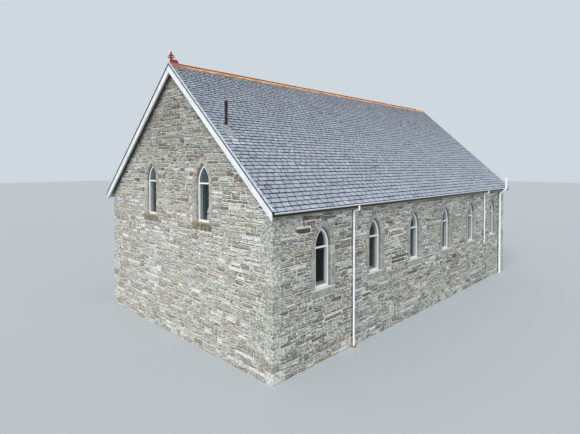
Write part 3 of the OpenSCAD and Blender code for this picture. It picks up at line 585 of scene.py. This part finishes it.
def arch(face, middle, half, rise, spring, cuts, pick):
    """The stones of a pointed arch, from each springing to the point."""
    made = []
    radius = (rise * rise + half * half) / (2 * half)
    outer_top = math.acos((radius - half) / (radius + ring))
    inner_top = math.acos((radius - half) / radius)
    outline = [(radius, margin_back), (radius + ring, margin_back), (radius + ring, margin_front - wear),
               (radius + ring - wear, margin_front), (radius + chamfer, margin_front),
               (radius, margin_front - chamfer)]
    for side in (1, -1):
        for i in range(cuts):
            start = i * inner_top * 0.97 / cuts + 0.0025 / radius
            end = outer_top if i == cuts - 1 else (i + 1) * inner_top * 0.97 / cuts - 0.0025 / radius
            shape = bmesh.new()
            section = [shape.verts.new((r * math.cos(start), r * math.sin(start), w)) for r, w in outline]
            first = shape.faces.new(section)
            bmesh.ops.spin(shape, geom=[first], cent=(0, 0, 0), axis=(0, 0, 1), angle=end - start, steps=6,
                           use_merge=False, use_normal_flip=False, use_duplicate=False)
            if i == cuts - 1:
                whole = shape.verts[:] + shape.edges[:] + shape.faces[:]
                cut = bmesh.ops.bisect_plane(shape, geom=whole, dist=1e-5, plane_no=(1, 0, 0), clear_inner=True,
                                             plane_co=(radius - half + 0.0025, 0, 0))
                rim = [e for e in cut["geom_cut"] if isinstance(e, bmesh.types.BMEdge)]
                bmesh.ops.holes_fill(shape, edges=rim)
            turned = np.array([math.atan2(v.co.y, v.co.x) for v in shape.verts])
            edge = np.array([v.co.xy.length > radius + ring - 0.001 for v in shape.verts])
            sunk = np.array([v.co.xy.length < radius + 0.002 for v in shape.verts])
            bmesh.ops.translate(shape, vec=(half - radius, spring, 0), verts=shape.verts[:])
            if side < 0:
                bmesh.ops.scale(shape, vec=(-1, 1, 1), verts=shape.verts[:])
            bmesh.ops.recalc_face_normals(shape, faces=shape.faces[:])
            points, loops = take(shape)
            tints = np.tile(linear(pick.choice(margin_codes)), (len(points), 1)) * pick.uniform(0.92, 1.08)
            at_joint = (turned < start + 1e-3) | (turned > end - 1e-3)
            # Painted shade, partly dirt: the intrados darkened most, deep in the reveal under the arch
            tints[:, :3] *= (np.where(edge, 0.45, 1.0) * np.where(at_joint, 0.72, 1.0)
                             * np.where(sunk, 0.22, 1.0))[:, None]
            made.append((place_on(face, middle, points), loops, tints))
    return made


pick = random.Random(33)
parts = []
for face in ("right", "left"):
    for x in side_windows:
        middle = x if face == "right" else -x
        parts += jambs(face, middle, lancet_half, side_sill, side_spring, pick)
        parts += arch(face, middle, lancet_half, lancet_rise, side_spring, 3, pick)
hang(assemble("side_margins", parts), dressed, "dressed_stone", "side_jambs", "side_arches")
parts = []
for face in ("front", "rear"):
    for middle in gable_windows:
        parts += jambs(face, middle, lancet_half, gable_sill, gable_spring, pick)
        parts += arch(face, middle, lancet_half, lancet_rise, gable_spring, 3, pick)
parts += jambs("rear", 0.0, door_half, door_sill, door_spring, pick)
parts += arch("rear", 0.0, door_half, door_rise, door_spring, 5, pick)
paler = (1.17, 1.15, 1.09)
for points, loops, tints in parts:
    tints[:, :3] *= paler
hang(assemble("gable_margins", parts), dressed, "dressed_stone", "gable_jambs", "gable_arches")


# Stone sills and the threshold: single dressed blocks, paler on top than on the face. The
# sills of the gables, high up and sunny, carry yellow lichen.

# Damp sandstone: matt and greenish grey, with a mottle of 140 mm and lichen spots of 50 mm
for name, node, top, paler_top, spread, low_code, high_code in (
        ("side sill stone", "side_sills", side_sill, 0.9, 0.0, "#8b8e84", "#b6b8ae"),
        ("gable sill stone", "gable_sills", gable_sill, 0.2, 0.9, "#55544b", "#a69d83"),
        ("threshold stone", "door_threshold", door_sill, 0.9, 0.0, "#7d7f75", "#b4b5ab")):
    sill_stone, tree, surface, place = start_material(name, Roughness=0.87, IOR=1.5)
    broad = add_node(tree, "TexNoise", {"Vector": place, "Scale": 7.0, "Detail": 6.0, "Roughness": 0.7})
    toned = add_node(tree, "ValToRGB", {0: broad}, stops=[(0.38, low_code), (0.62, high_code)])
    at = measure(tree, place)
    # The top of each block paler than its face
    pale_band = add_node(tree, "MapRange", {0: at.z, 1: top - 0.036, 2: top - 0.024, 3: 0.0, 4: paler_top})
    toned = add_node(tree, "Mix", {0: pale_band, 6: toned, 7: linear("#e4e2da")}, **blend)
    lichen = add_node(tree, "TexNoise", {"Vector": place, "Scale": 20.0, "Detail": 5.0, "Roughness": 0.6})
    height = add_node(tree, "MapRange", {0: at.z, 1: top - 0.10, 2: top, 3: -0.25, 4: 0.02})
    lichen = add_node(tree, "Math", {0: lichen, 1: height}, operation="ADD")
    lichen = add_node(tree, "MapRange", {0: lichen, 1: 0.50, 2: 0.56, 3: 0.0, 4: spread})
    toned = add_node(tree, "Mix", {0: lichen, 6: toned, 7: linear("#bf9d3c")}, **blend)
    coat(tree, surface, toned, broad, 0.5, 0.006)
    dress(sill_stone, node)


# Window frames: white plastic frames in one piece with a transom, set 80 mm back in the
# stone. The panes are clear glass with a slight green cast, which shows the splays behind.

# Extruded plastic: bright and smooth, with a faint film of dust that dulls it in patches
white, tree, surface, place = start_material("white extruded plastic", Roughness=0.32, IOR=1.5)
dust = add_node(tree, "TexNoise", {"Vector": place, "Scale": 8.0, "Detail": 4.0, "Roughness": 0.6})
film = add_node(tree, "ValToRGB", {0: dust}, stops=[(0.35, "#f2f4f4"), (0.65, "#fdfefe")])
coat(tree, surface, film)
gloss = add_node(tree, "MapRange", {0: dust, 1: 0.3, 2: 0.7, 3: 0.26, 4: 0.42})
tree.links.new(gloss, surface.inputs["Roughness"])
dress(white, "side_frames", "gable_frames")

# Float glass: clear face on and pale at a glance. The gables' upper lights are more opaque, as a painted
# reflection of the sky
glass, tree, surface, place = start_material("float glass", Roughness=0.03, IOR=1.5)
surface.inputs["Base Color"].default_value = linear("#546a6e")
glance = add_node(tree, "LayerWeight", {0: 0.20})
cover = add_node(tree, "MapRange", {0: glance, 1: 0.10, 2: 0.60, 3: 0.03, 4: 0.20})
at = measure(tree, place)
transom = 5.20
# Painted reflection: the gables' upper lights made more opaque to show more sky
on_gable = add_node(tree, "Math", {0: at.off_y, 1: wall_y / 2}, operation="LESS_THAN")
upper = add_node(tree, "Math", {0: at.z, 1: transom}, operation="GREATER_THAN")
sky_reflection = add_node(tree, "Math", {0: on_gable, 1: upper}, operation="MULTIPLY")
cover = add_node(tree, "Math", {0: sky_reflection, 1: 0.28, 2: cover}, operation="MULTIPLY_ADD")
tree.links.new(cover, surface.inputs["Alpha"])
dress(glass, "side_glass", "gable_glass")


# Slates: blue-grey slates in courses that lessen towards the ridge, each nailed over the one
# below with broken joints. Their tails are uneven, and under every tail the slate below is darkened, partly
# dirt and partly painted shade.

# Riven slate: satin, blue-grey to purple, with a cleft grain of 40 mm and pale lichen specks
slate, tree, surface, place = start_material("riven roofing slate", Roughness=0.58, IOR=1.55)
tint = add_node(tree, "Attribute", {}, attribute_name="tint")
cleft = add_node(tree, "TexNoise", {"Vector": place, "Scale": 24.0, "Detail": 5.0, "Roughness": 0.65})
toned = shaded(tree, tint, cleft, 0.32, 0.68, 0.82, 1.14)
broad = add_node(tree, "TexNoise", {"Vector": place, "Scale": 1.2, "Detail": 4.0, "Roughness": 0.6})
toned = shaded(tree, toned, broad, 0.35, 0.65, 0.92, 1.06)
specks = add_node(tree, "TexVoronoi", {"Vector": place, "Scale": 2.6})
specks = add_node(tree, "MapRange", {0: specks, 1: 0.06, 2: 0.10, 3: 0.90, 4: 0.0})
toned = add_node(tree, "Mix", {0: specks, 6: toned, 7: linear("#e4e9ea")}, **blend)
coat(tree, surface, toned, cleft, 0.4, 0.004)

slate_x = 8.949
slate_s = 5.112
slope_len = slate_s / math.cos(pitch)
low_gauge, high_gauge = 0.170, 0.105
rows = round(slope_len / ((low_gauge + high_gauge) / 2))
step = (low_gauge - high_gauge) / (rows - 1)
stretch = slope_len / (rows * (low_gauge + high_gauge) / 2)
tails = [stretch * (i * high_gauge + step * i * (i - 1) / 2) for i in range(rows + 1)]

# One slate from tail to head: two cuts across where the dirt and painted shade under the next
# tail begin and end, and two along it where its sides begin to darken
shape = bmesh.new()
bmesh.ops.create_cube(shape, size=1)
hidden = [f for f in shape.faces if f.normal.z < -0.9 or f.normal.y > 0.9]
bmesh.ops.delete(shape, geom=hidden, context="FACES")
for point, normal in (((0, -0.2, 0), (0, 1, 0)), ((0, 0.1, 0), (0, 1, 0)), ((-0.4, 0, 0), (1, 0, 0)),
                      ((0.4, 0, 0), (1, 0, 0))):
    bmesh.ops.bisect_plane(shape, geom=shape.verts[:] + shape.edges[:] + shape.faces[:], dist=1e-5,
                           plane_co=point, plane_no=normal)
slate_points, slate_loops = take(shape)
inner = np.abs(slate_points[:, 0]) < 0.45
on_top = slate_points[:, 2] > 0
at_tail = slate_points[:, 1] < -0.49
at_dirt_and_shade = np.abs(slate_points[:, 1] + 0.2) < 0.01
at_lap = np.abs(slate_points[:, 1] - 0.1) < 0.01
thick = 0.010
joint = 0.0055
side_dark = 0.018
dirt_and_shade_full = 0.022
dirt_and_shade_fades = 0.040
flue_x = -8.46

blues = ["#b0b9c6", "#b4bdc9", "#acb5c3", "#b7c0cb", "#b1b8c5", "#b3b8c5", "#aab4c1", "#b1b9c5"]
for side, name in ((-1, "slates_right"), (1, "slates_left")):
    pick = random.Random(90 + side)
    noise = np.random.default_rng(5 + side)
    parts = []
    loops = slate_loops if side < 0 else [loop[::-1] for loop in slate_loops]
    for i in range(rows):
        gauge = tails[i + 1] - tails[i]
        mean = 0.205 + 0.095 * i / (rows - 1)
        at = -slate_x - (mean * pick.uniform(0.3, 0.7) if i % 2 else 0.0)
        while at < slate_x - 0.02:
            width = mean * pick.uniform(0.78, 1.25)
            if slate_x - at - width < 0.07:
                width = slate_x - at
            left, right = max(at, -slate_x + 0.002) + joint, min(at + width, slate_x - 0.002) - joint
            tail = tails[i + 1] + pick.uniform(-0.009, 0.006)
            skew = pick.uniform(-0.012, 0.012) * (3 if pick.random() < 0.02 else 1)
            from_middle = (right - left) / 2 - np.where(inner, side_dark, 0.0)
            x = (left + right) / 2 + np.sign(slate_points[:, 0]) * from_middle
            back = np.where(at_tail, noise.uniform(-0.003, 0.003, len(x)), 2.0 * gauge + 0.03)
            back = np.where(at_dirt_and_shade, gauge - dirt_and_shade_fades, np.where(at_lap, gauge - dirt_and_shade_full, back))
            down = np.clip(tail - back + skew * slate_points[:, 0], 0.02, slope_len - 0.004)
            lift = 0.030 + pick.uniform(-0.0015, 0.002) - 0.013 / gauge * (tail - down)
            lift -= np.where(on_top, 0, thick)
            s = down * math.cos(pitch) + lift * math.sin(pitch)
            z = ridge - down * math.sin(pitch) + lift * math.cos(pitch)
            draw = pick.random()
            tone = np.array(linear(pick.choice(blues))[:3]) * pick.uniform(0.93, 1.08)
            tone = tone * (0.88 + 0.12 * i / rows)
            if draw < 0.015:
                tone = tone * 1.22
            elif draw < 0.04:
                tone = tone * 0.70
            middle = (left + right) / 2
            if side < 0 and abs(middle - flue_x) < 0.16 and 2.66 < s.mean() < 3.10 and draw > 0.25:
                tone = tone * 0.3 + np.array(linear("#e6eaea")[:3]) * 0.7
            if side < 0 and -8.72 < middle < -8.45 and i == 2:
                tone = np.array(linear("#a07c5a")[:3])
            # Painted shade with some dirt: dark under the next tail, along the sides and on the tail's edge
            shadow = np.where(at_dirt_and_shade, 1.0, np.where(at_tail, 1.0, 0.07))
            shadow = shadow * np.where(inner, 1.0, 0.16) * np.where(on_top, 1.0, 0.10)
            tints = np.ones((len(x), 4))
            tints[:, :3] = tone * shadow[:, None]
            parts.append((np.column_stack([x, side * s, z]), loops, tints))
            at += width
    hang(assemble(name, parts), slate, "slate", "slates")


# Ridge: clay tiles with a roll along the top, bedded in mortar; two plain brighter ones end
# the rear, and a crested block with a finial ends the front.

# Fired clay: matt and porous, each tile fired to its own orange, the rolls dark with grime
clay, tree, surface, place = start_material("weathered ridge clay", Roughness=0.8, IOR=1.5)
at = measure(tree, place)
first_tile = -8.5467
tile_long = 0.4466
plain_from = 7.97
roll_foot = 9.216
tile = add_node(tree, "Math", {0: at.x, 1: 1 / tile_long, 2: -first_tile / tile_long},
                operation="MULTIPLY_ADD")
tile = add_node(tree, "Math", {0: tile}, operation="FLOOR")
fired = add_node(tree, "TexWhiteNoise", {"W": tile}, noise_dimensions="1D")
fired = add_node(tree, "ValToRGB", {0: fired},
                 stops=[(0.0, "#c8733c"), (1.0, "#dd9a5c"), (0.5, "#d4844a")])
mottle = add_node(tree, "TexNoise", {"Vector": place, "Scale": 14.0, "Detail": 6.0, "Roughness": 0.65})
toned = shaded(tree, fired, mottle, 0.35, 0.65, 0.66, 1.16)
# Painted highlight: a pale yellow band down the middle of each side of the ridge tiles
yellow_highlight = add_node(tree, "TexNoise", {"Vector": place, "Scale": 5.0, "Detail": 5.0, "Roughness": 0.6})
yellow_highlight = add_node(tree, "MapRange", {0: yellow_highlight, 1: 0.42, 2: 0.56, 3: 0.15, 4: 0.80})
pale_band = add_node(tree, "MapRange", {0: at.off_y, 1: 0.045, 2: 0.060, 3: 0.0, 4: 1.0})
lower = add_node(tree, "MapRange", {0: at.off_y, 1: 0.105, 2: 0.125, 3: 1.0, 4: 0.0})
pale_band = add_node(tree, "Math", {0: pale_band, 1: lower}, operation="MULTIPLY")
yellow_highlight = add_node(tree, "Math", {0: pale_band, 1: yellow_highlight}, operation="MULTIPLY")
toned = add_node(tree, "Mix", {0: yellow_highlight, 6: toned, 7: linear("#f0d3a0")}, **blend)
near = add_node(tree, "MapRange", {0: at.x, 1: -8.35, 2: -8.15, 3: 0.75, 4: 0.0})
toned = add_node(tree, "Mix", {0: near, 6: toned, 7: linear("#bb7468")}, **blend)
roll = add_node(tree, "MapRange", {0: at.z, 1: roll_foot, 2: roll_foot + 0.016, 3: 0.0, 4: 0.88})
before = add_node(tree, "Math", {0: at.x, 1: plain_from}, operation="LESS_THAN")
roll = add_node(tree, "Math", {0: roll, 1: before}, operation="MULTIPLY")
toned = add_node(tree, "Mix", {0: roll, 6: toned, 7: linear("#743f2c")}, **blend)
coat(tree, surface, toned, mottle, 0.4, 0.004)
dress(clay, "ridge_tiles")

# Drain clay: the sockets at the foot of the pipes, salt glazed and brighter than the ridge
collar_clay, tree, surface, place = start_material("orange drain clay", Roughness=0.6, IOR=1.5)
mottle = add_node(tree, "TexNoise", {"Vector": place, "Scale": 18.0, "Detail": 6.0, "Roughness": 0.65})
fired = add_node(tree, "ValToRGB", {0: mottle}, stops=[(0.34, "#a8552f"), (0.66, "#c9784a")])
coat(tree, surface, fired)
dress(collar_clay, "gully_collars")

# Dark red clay: block and finial, nearly crimson above and pinker where rain has washed them
red_clay, tree, surface, place = start_material("dark red clay", Roughness=0.72, IOR=1.5)
mottle = add_node(tree, "TexNoise", {"Vector": place, "Scale": 24.0, "Detail": 6.0, "Roughness": 0.65})
fired = add_node(tree, "ValToRGB", {0: mottle}, stops=[(0.34, "#7a2422"), (0.66, "#a8413a")])
at = measure(tree, place)
crest_foot = 9.245
foot = add_node(tree, "MapRange", {0: at.z, 1: crest_foot, 2: crest_foot + 0.030, 3: 0.8, 4: 0.0})
toned = add_node(tree, "Mix", {0: foot, 6: fired, 7: linear("#c77f76")}, **blend)
coat(tree, surface, toned, mottle, 0.4, 0.003)
dress(red_clay, "ridge_block", "finial")


# Painted boards: bargeboards and fascias in white gloss, nailed to the ends of roof boards and
# rafters. The fascia is painted grey as shade under the eaves, and black behind the gutter as its painted
# shadow.

# Gloss paint on softwood: bright, satin by now, with a dirt film that runs in broad patches
paint, tree, surface, place = start_material("white gloss paint", Roughness=0.38, IOR=1.5)
dirt = add_node(tree, "TexNoise", {"Vector": place, "Scale": 3.0, "Detail": 7.0, "Roughness": 0.65})
film = add_node(tree, "ValToRGB", {0: dirt}, stops=[(0.32, "#dde0e3"), (0.60, "#f5f7f8")])
fascia_y = 5.066
fascia_foot = 4.452
barge_back = 8.911
at = measure(tree, place)
fascia = add_node(tree, "Math", {0: at.off_y, 1: fascia_y}, operation="GREATER_THAN")
between = add_node(tree, "Math", {0: at.off_x, 1: barge_back}, operation="LESS_THAN")
fascia = add_node(tree, "Math", {0: fascia, 1: between}, operation="MULTIPLY")
# Painted shade: the fascia greyed, and nearly black behind the gutter as the gutter's shadow
greyed = add_node(tree, "Mix", {0: fascia, 6: film, 7: linear("#a9aca0")}, **blend)
behind_gutter = add_node(tree, "MapRange", {0: at.z, 1: fascia_foot, 2: fascia_foot + 0.006, 3: 0.0, 4: 1.0})
gutter_shadow = add_node(tree, "Math", {0: fascia, 1: behind_gutter}, operation="MULTIPLY")
painted = add_node(tree, "Mix", {0: gutter_shadow, 6: greyed, 7: linear("#171613")}, **blend)
coat(tree, surface, painted, dirt, 0.15, 0.002)
dress(paint, "bargeboards", "fascias", "door_frame")

# Cream paint: matt, on battens and soffits, dulled to olive grey by weather
cream, tree, surface, place = start_material("cream paint", Roughness=0.55, IOR=1.5)
dirt = add_node(tree, "TexNoise", {"Vector": place, "Scale": 5.0, "Detail": 6.0, "Roughness": 0.6})
film = add_node(tree, "ValToRGB", {0: dirt}, stops=[(0.32, "#a9a894"), (0.66, "#cdcab8")])
coat(tree, surface, film)
dress(cream, "verge_battens", "eaves_soffits")

# Coated metal: pale blue-grey and dull, in strips over the slates' ends, with a clip seen as a
# darker line at every 300 mm of slope, which is 200 mm of height
strip, tree, surface, place = start_material("coated metal strip", Roughness=0.5, Metallic=0.2)
weather = add_node(tree, "TexNoise", {"Vector": place, "Scale": 6.0, "Detail": 6.0, "Roughness": 0.6})
# The pale blue is partly the coat's own colour and partly a painted reflection of the sky
film = add_node(tree, "ValToRGB", {0: weather}, stops=[(0.32, "#b7c6d3"), (0.64, "#dde8f0")])
at = measure(tree, place)
clip_rise = 0.200
clip = add_node(tree, "Math", {0: at.z, 1: clip_rise}, operation="FLOORED_MODULO")
clip = add_node(tree, "MapRange", {0: clip, 1: 0.016, 2: 0.024, 3: 0.55, 4: 0.0})
film = add_node(tree, "Mix", {0: clip, 6: film, 7: linear("#5c6a76")}, **blend)
coat(tree, surface, film)
dress(strip, "verge_strips")


# Roof timbers and floor: sawn softwood, its grain 25 mm apart along the chapel. Outside the
# walls the roof boards' ends and undersides are weathered and painted nearly black as shade. The floor is
# boarded.

# Sawn softwood: matt, warm, with drawn-out growth lines
timber, tree, surface, place = start_material("sawn softwood", Roughness=0.7, IOR=1.5)
drawn = add_node(tree, "Mapping", {0: place, 3: (1.5, 40, 40)})
growth = add_node(tree, "TexNoise", {"Vector": drawn, "Scale": 1.0, "Detail": 6.0, "Roughness": 0.6})
wood = add_node(tree, "ValToRGB", {0: growth}, stops=[(0.32, "#7d6142"), (0.68, "#a98a62")])
at = measure(tree, place)
out_x = add_node(tree, "Math", {0: at.off_x, 1: wall_x - 0.01}, operation="GREATER_THAN")
out_y = add_node(tree, "Math", {0: at.off_y, 1: wall_y - 0.01}, operation="GREATER_THAN")
outside = add_node(tree, "Math", {0: out_x, 1: out_y}, operation="MAXIMUM")
# Weathering and painted shade: timber outside the walls is nearly black under the verges and eaves
weathered_and_shaded = add_node(tree, "Mix", {0: outside, 6: wood, 7: linear("#1f2122")}, **blend)
floor_board = 0.145
board = add_node(tree, "Math", {0: at.y, 1: floor_board}, operation="FLOORED_MODULO")
groove = add_node(tree, "Math", {0: board, 1: 0.004}, operation="GREATER_THAN")
coat(tree, surface, weathered_and_shaded, groove, 0.8, 0.003)
dress(timber, "floor_boards", "floor_joists", "wall_plates", "rafters", "collars", "ridge_board",
      "roof_boards")


# Rainwater goods: white moulded gutters and pipes in brackets and sockets. The soil vent pipe
# beside the far corner is the same plastic.

# Moulded plastic: white and satin, streaked by rain, black inside and under the gutters, partly dirt and partly
# painted shade
rain_plastic, tree, surface, place = start_material("white moulded plastic", Roughness=0.4, IOR=1.5)
runs = add_node(tree, "Mapping", {0: place, 3: (9, 9, 1.5)})
dull = add_node(tree, "TexNoise", {"Vector": runs, "Scale": 1.0, "Detail": 6.0, "Roughness": 0.6})
film = add_node(tree, "ValToRGB", {0: dull}, stops=[(0.32, "#e8edf0"), (0.56, "#fcfdff")])
gutter_y = 5.1283
gutter_z = 4.5906
gutter_inner = 0.0562
gutter_outer = 0.062
at = measure(tree, place)
out_y = add_node(tree, "Math", {0: at.off_y, 1: gutter_y}, operation="SUBTRACT")
up_z = add_node(tree, "Math", {0: at.z, 1: gutter_z}, operation="SUBTRACT")
square = add_node(tree, "Math", {0: out_y, 1: out_y}, operation="MULTIPLY")
square = add_node(tree, "Math", {0: up_z, 1: up_z, 2: square}, operation="MULTIPLY_ADD")
radius = add_node(tree, "Math", {0: square}, operation="SQRT")
hollow = add_node(tree, "Math", {0: radius, 1: gutter_inner}, operation="LESS_THAN")
# Painted shade with some dirt: black inside each gutter and under the bottom of its curve
under = add_node(tree, "MapRange", {0: up_z, 1: -0.048, 2: -0.042, 3: 1.0, 4: 0.0})
by_gutter = add_node(tree, "Math", {0: radius, 1: gutter_outer}, operation="LESS_THAN")
under = add_node(tree, "Math", {0: under, 1: by_gutter}, operation="MULTIPLY")
dirt_and_shade = add_node(tree, "Math", {0: hollow, 1: under}, operation="MAXIMUM")
film = add_node(tree, "Mix", {0: dirt_and_shade, 6: film, 7: linear("#1b1b18")}, **blend)
coat(tree, surface, film)
gloss = add_node(tree, "MapRange", {0: dull, 1: 0.3, 2: 0.7, 3: 0.3, 4: 0.55})
tree.links.new(gloss, surface.inputs["Roughness"])
dress(rain_plastic, "gutters", "downpipes", "pipe_clips", "vent_pipe")


# Flue: a cast iron pipe, painted dark red-brown and gone black in places, that comes up through
# the front right of the roof. A sheet of lead lapped over the slates keeps the rain out round it.

# Painted iron: dull and rough, nearly black, with rust that shows through in patches of 80 mm
iron, tree, surface, place = start_material("painted cast iron", Roughness=0.7, Metallic=0.2)
rust = add_node(tree, "TexNoise", {"Vector": place, "Scale": 12.0, "Detail": 7.0, "Roughness": 0.65})
tone = add_node(tree, "ValToRGB", {0: rust}, stops=[(0.34, "#1b1416"), (0.66, "#3c2422")])
coat(tree, surface, tone, rust, 0.4, 0.002)
dress(iron, "flue_pipe")

# Sheet lead: dull grey with a pale bloom in patches of 60 mm
lead, tree, surface, place = start_material("weathered sheet lead", Roughness=0.55, Metallic=0.5)
bloom = add_node(tree, "TexNoise", {"Vector": place, "Scale": 16.0, "Detail": 6.0, "Roughness": 0.6})
tone = add_node(tree, "ValToRGB", {0: bloom}, stops=[(0.36, "#6d757b"), (0.62, "#d3d8da")])
coat(tree, surface, tone)
dress(lead, "flue_flashing")


# Doors: two leaves of upright boards, dark stained, hung in a white frame under a pointed
# head. They are at the rear.

# Stained boards: satin brown, drawn-out grain, a dark groove between boards of 116 mm
door_wood, tree, surface, place = start_material("stained boards", Roughness=0.6, IOR=1.5)
drawn = add_node(tree, "Mapping", {0: place, 3: (40, 40, 2)})
growth = add_node(tree, "TexNoise", {"Vector": drawn, "Scale": 1.0, "Detail": 6.0, "Roughness": 0.6})
tone = add_node(tree, "ValToRGB", {0: growth}, stops=[(0.34, "#3d2c20"), (0.66, "#634936")])
at = measure(tree, place)
door_board = 0.116
board = add_node(tree, "Math", {0: at.y, 1: door_board}, operation="FLOORED_MODULO")
groove = add_node(tree, "MapRange", {0: board, 1: 0.0, 2: 0.008, 3: 0.3, 4: 1.0})
tone = add_node(tree, "Mix", {0: 1.0, 6: tone, 7: groove}, **multiply)
coat(tree, surface, tone, groove, 0.8, 0.006)
dress(door_wood, "door_leaves")


# Studio: a pale floor, a soft key light from the left and in front, and an even pale dome that
# shows as a plain pale backdrop
floor_tone, tree, surface, place = start_material("studio floor", Roughness=0.9)
surface.inputs["Base Color"].default_value = linear("#c3c8cb")
shape = bmesh.new()
bmesh.ops.create_grid(shape, x_segments=1, y_segments=1, size=150)
mesh = bpy.data.meshes.new("studio_floor")
shape.to_mesh(mesh)
shape.free()
mesh.materials.append(floor_tone)
studio = bpy.data.objects.new("studio_floor", mesh)
bpy.context.scene.collection.objects.link(studio)
studio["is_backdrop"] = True

world = bpy.data.worlds.new("studio dome")
bpy.context.scene.world = world
world.use_nodes = True
tree = world.node_tree
dome = tree.nodes["Background"]
dome.inputs["Color"].default_value = linear("#e4eaf0")
dome.inputs["Strength"].default_value = 0.68
backdrop = add_node(tree, "Background", {"Color": linear("#cfd8df"), "Strength": 1.0})
seen = add_node(tree, "LightPath", {}, out=0)
glossy = add_node(tree, "LightPath", {}, out=3)
seen = add_node(tree, "Math", {0: seen, 1: glossy}, operation="MAXIMUM")
chosen = add_node(tree, "MixShader", {0: seen, 1: dome.outputs[0], 2: backdrop})
tree.links.new(chosen, tree.nodes["World Output"].inputs["Surface"])

lamp = bpy.data.lights.new("soft_key", "SUN")
lamp.energy = 2.1
lamp.angle = math.radians(45)
sun = bpy.data.objects.new("soft_key", lamp)
sun.rotation_euler = Vector((0.80, 0.42, -0.66)).to_track_quat("-Z", "Y").to_euler()
bpy.context.scene.collection.objects.link(sun)

camera = bpy.data.objects.new("camera", bpy.data.cameras.new("camera"))
camera.location = (-16.228, -12.902, 5.7905)
camera.rotation_euler = (math.pi / 2 - 0.0166, 0, -0.7928)
camera.data.sensor_width = 36
camera.data.lens = 26.30
camera.data.shift_y = -0.077
camera.data.clip_end = 400
bpy.context.scene.collection.objects.link(camera)
bpy.context.scene.camera = camera
bpy.context.scene.view_settings.view_transform = "Standard"

low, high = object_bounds()
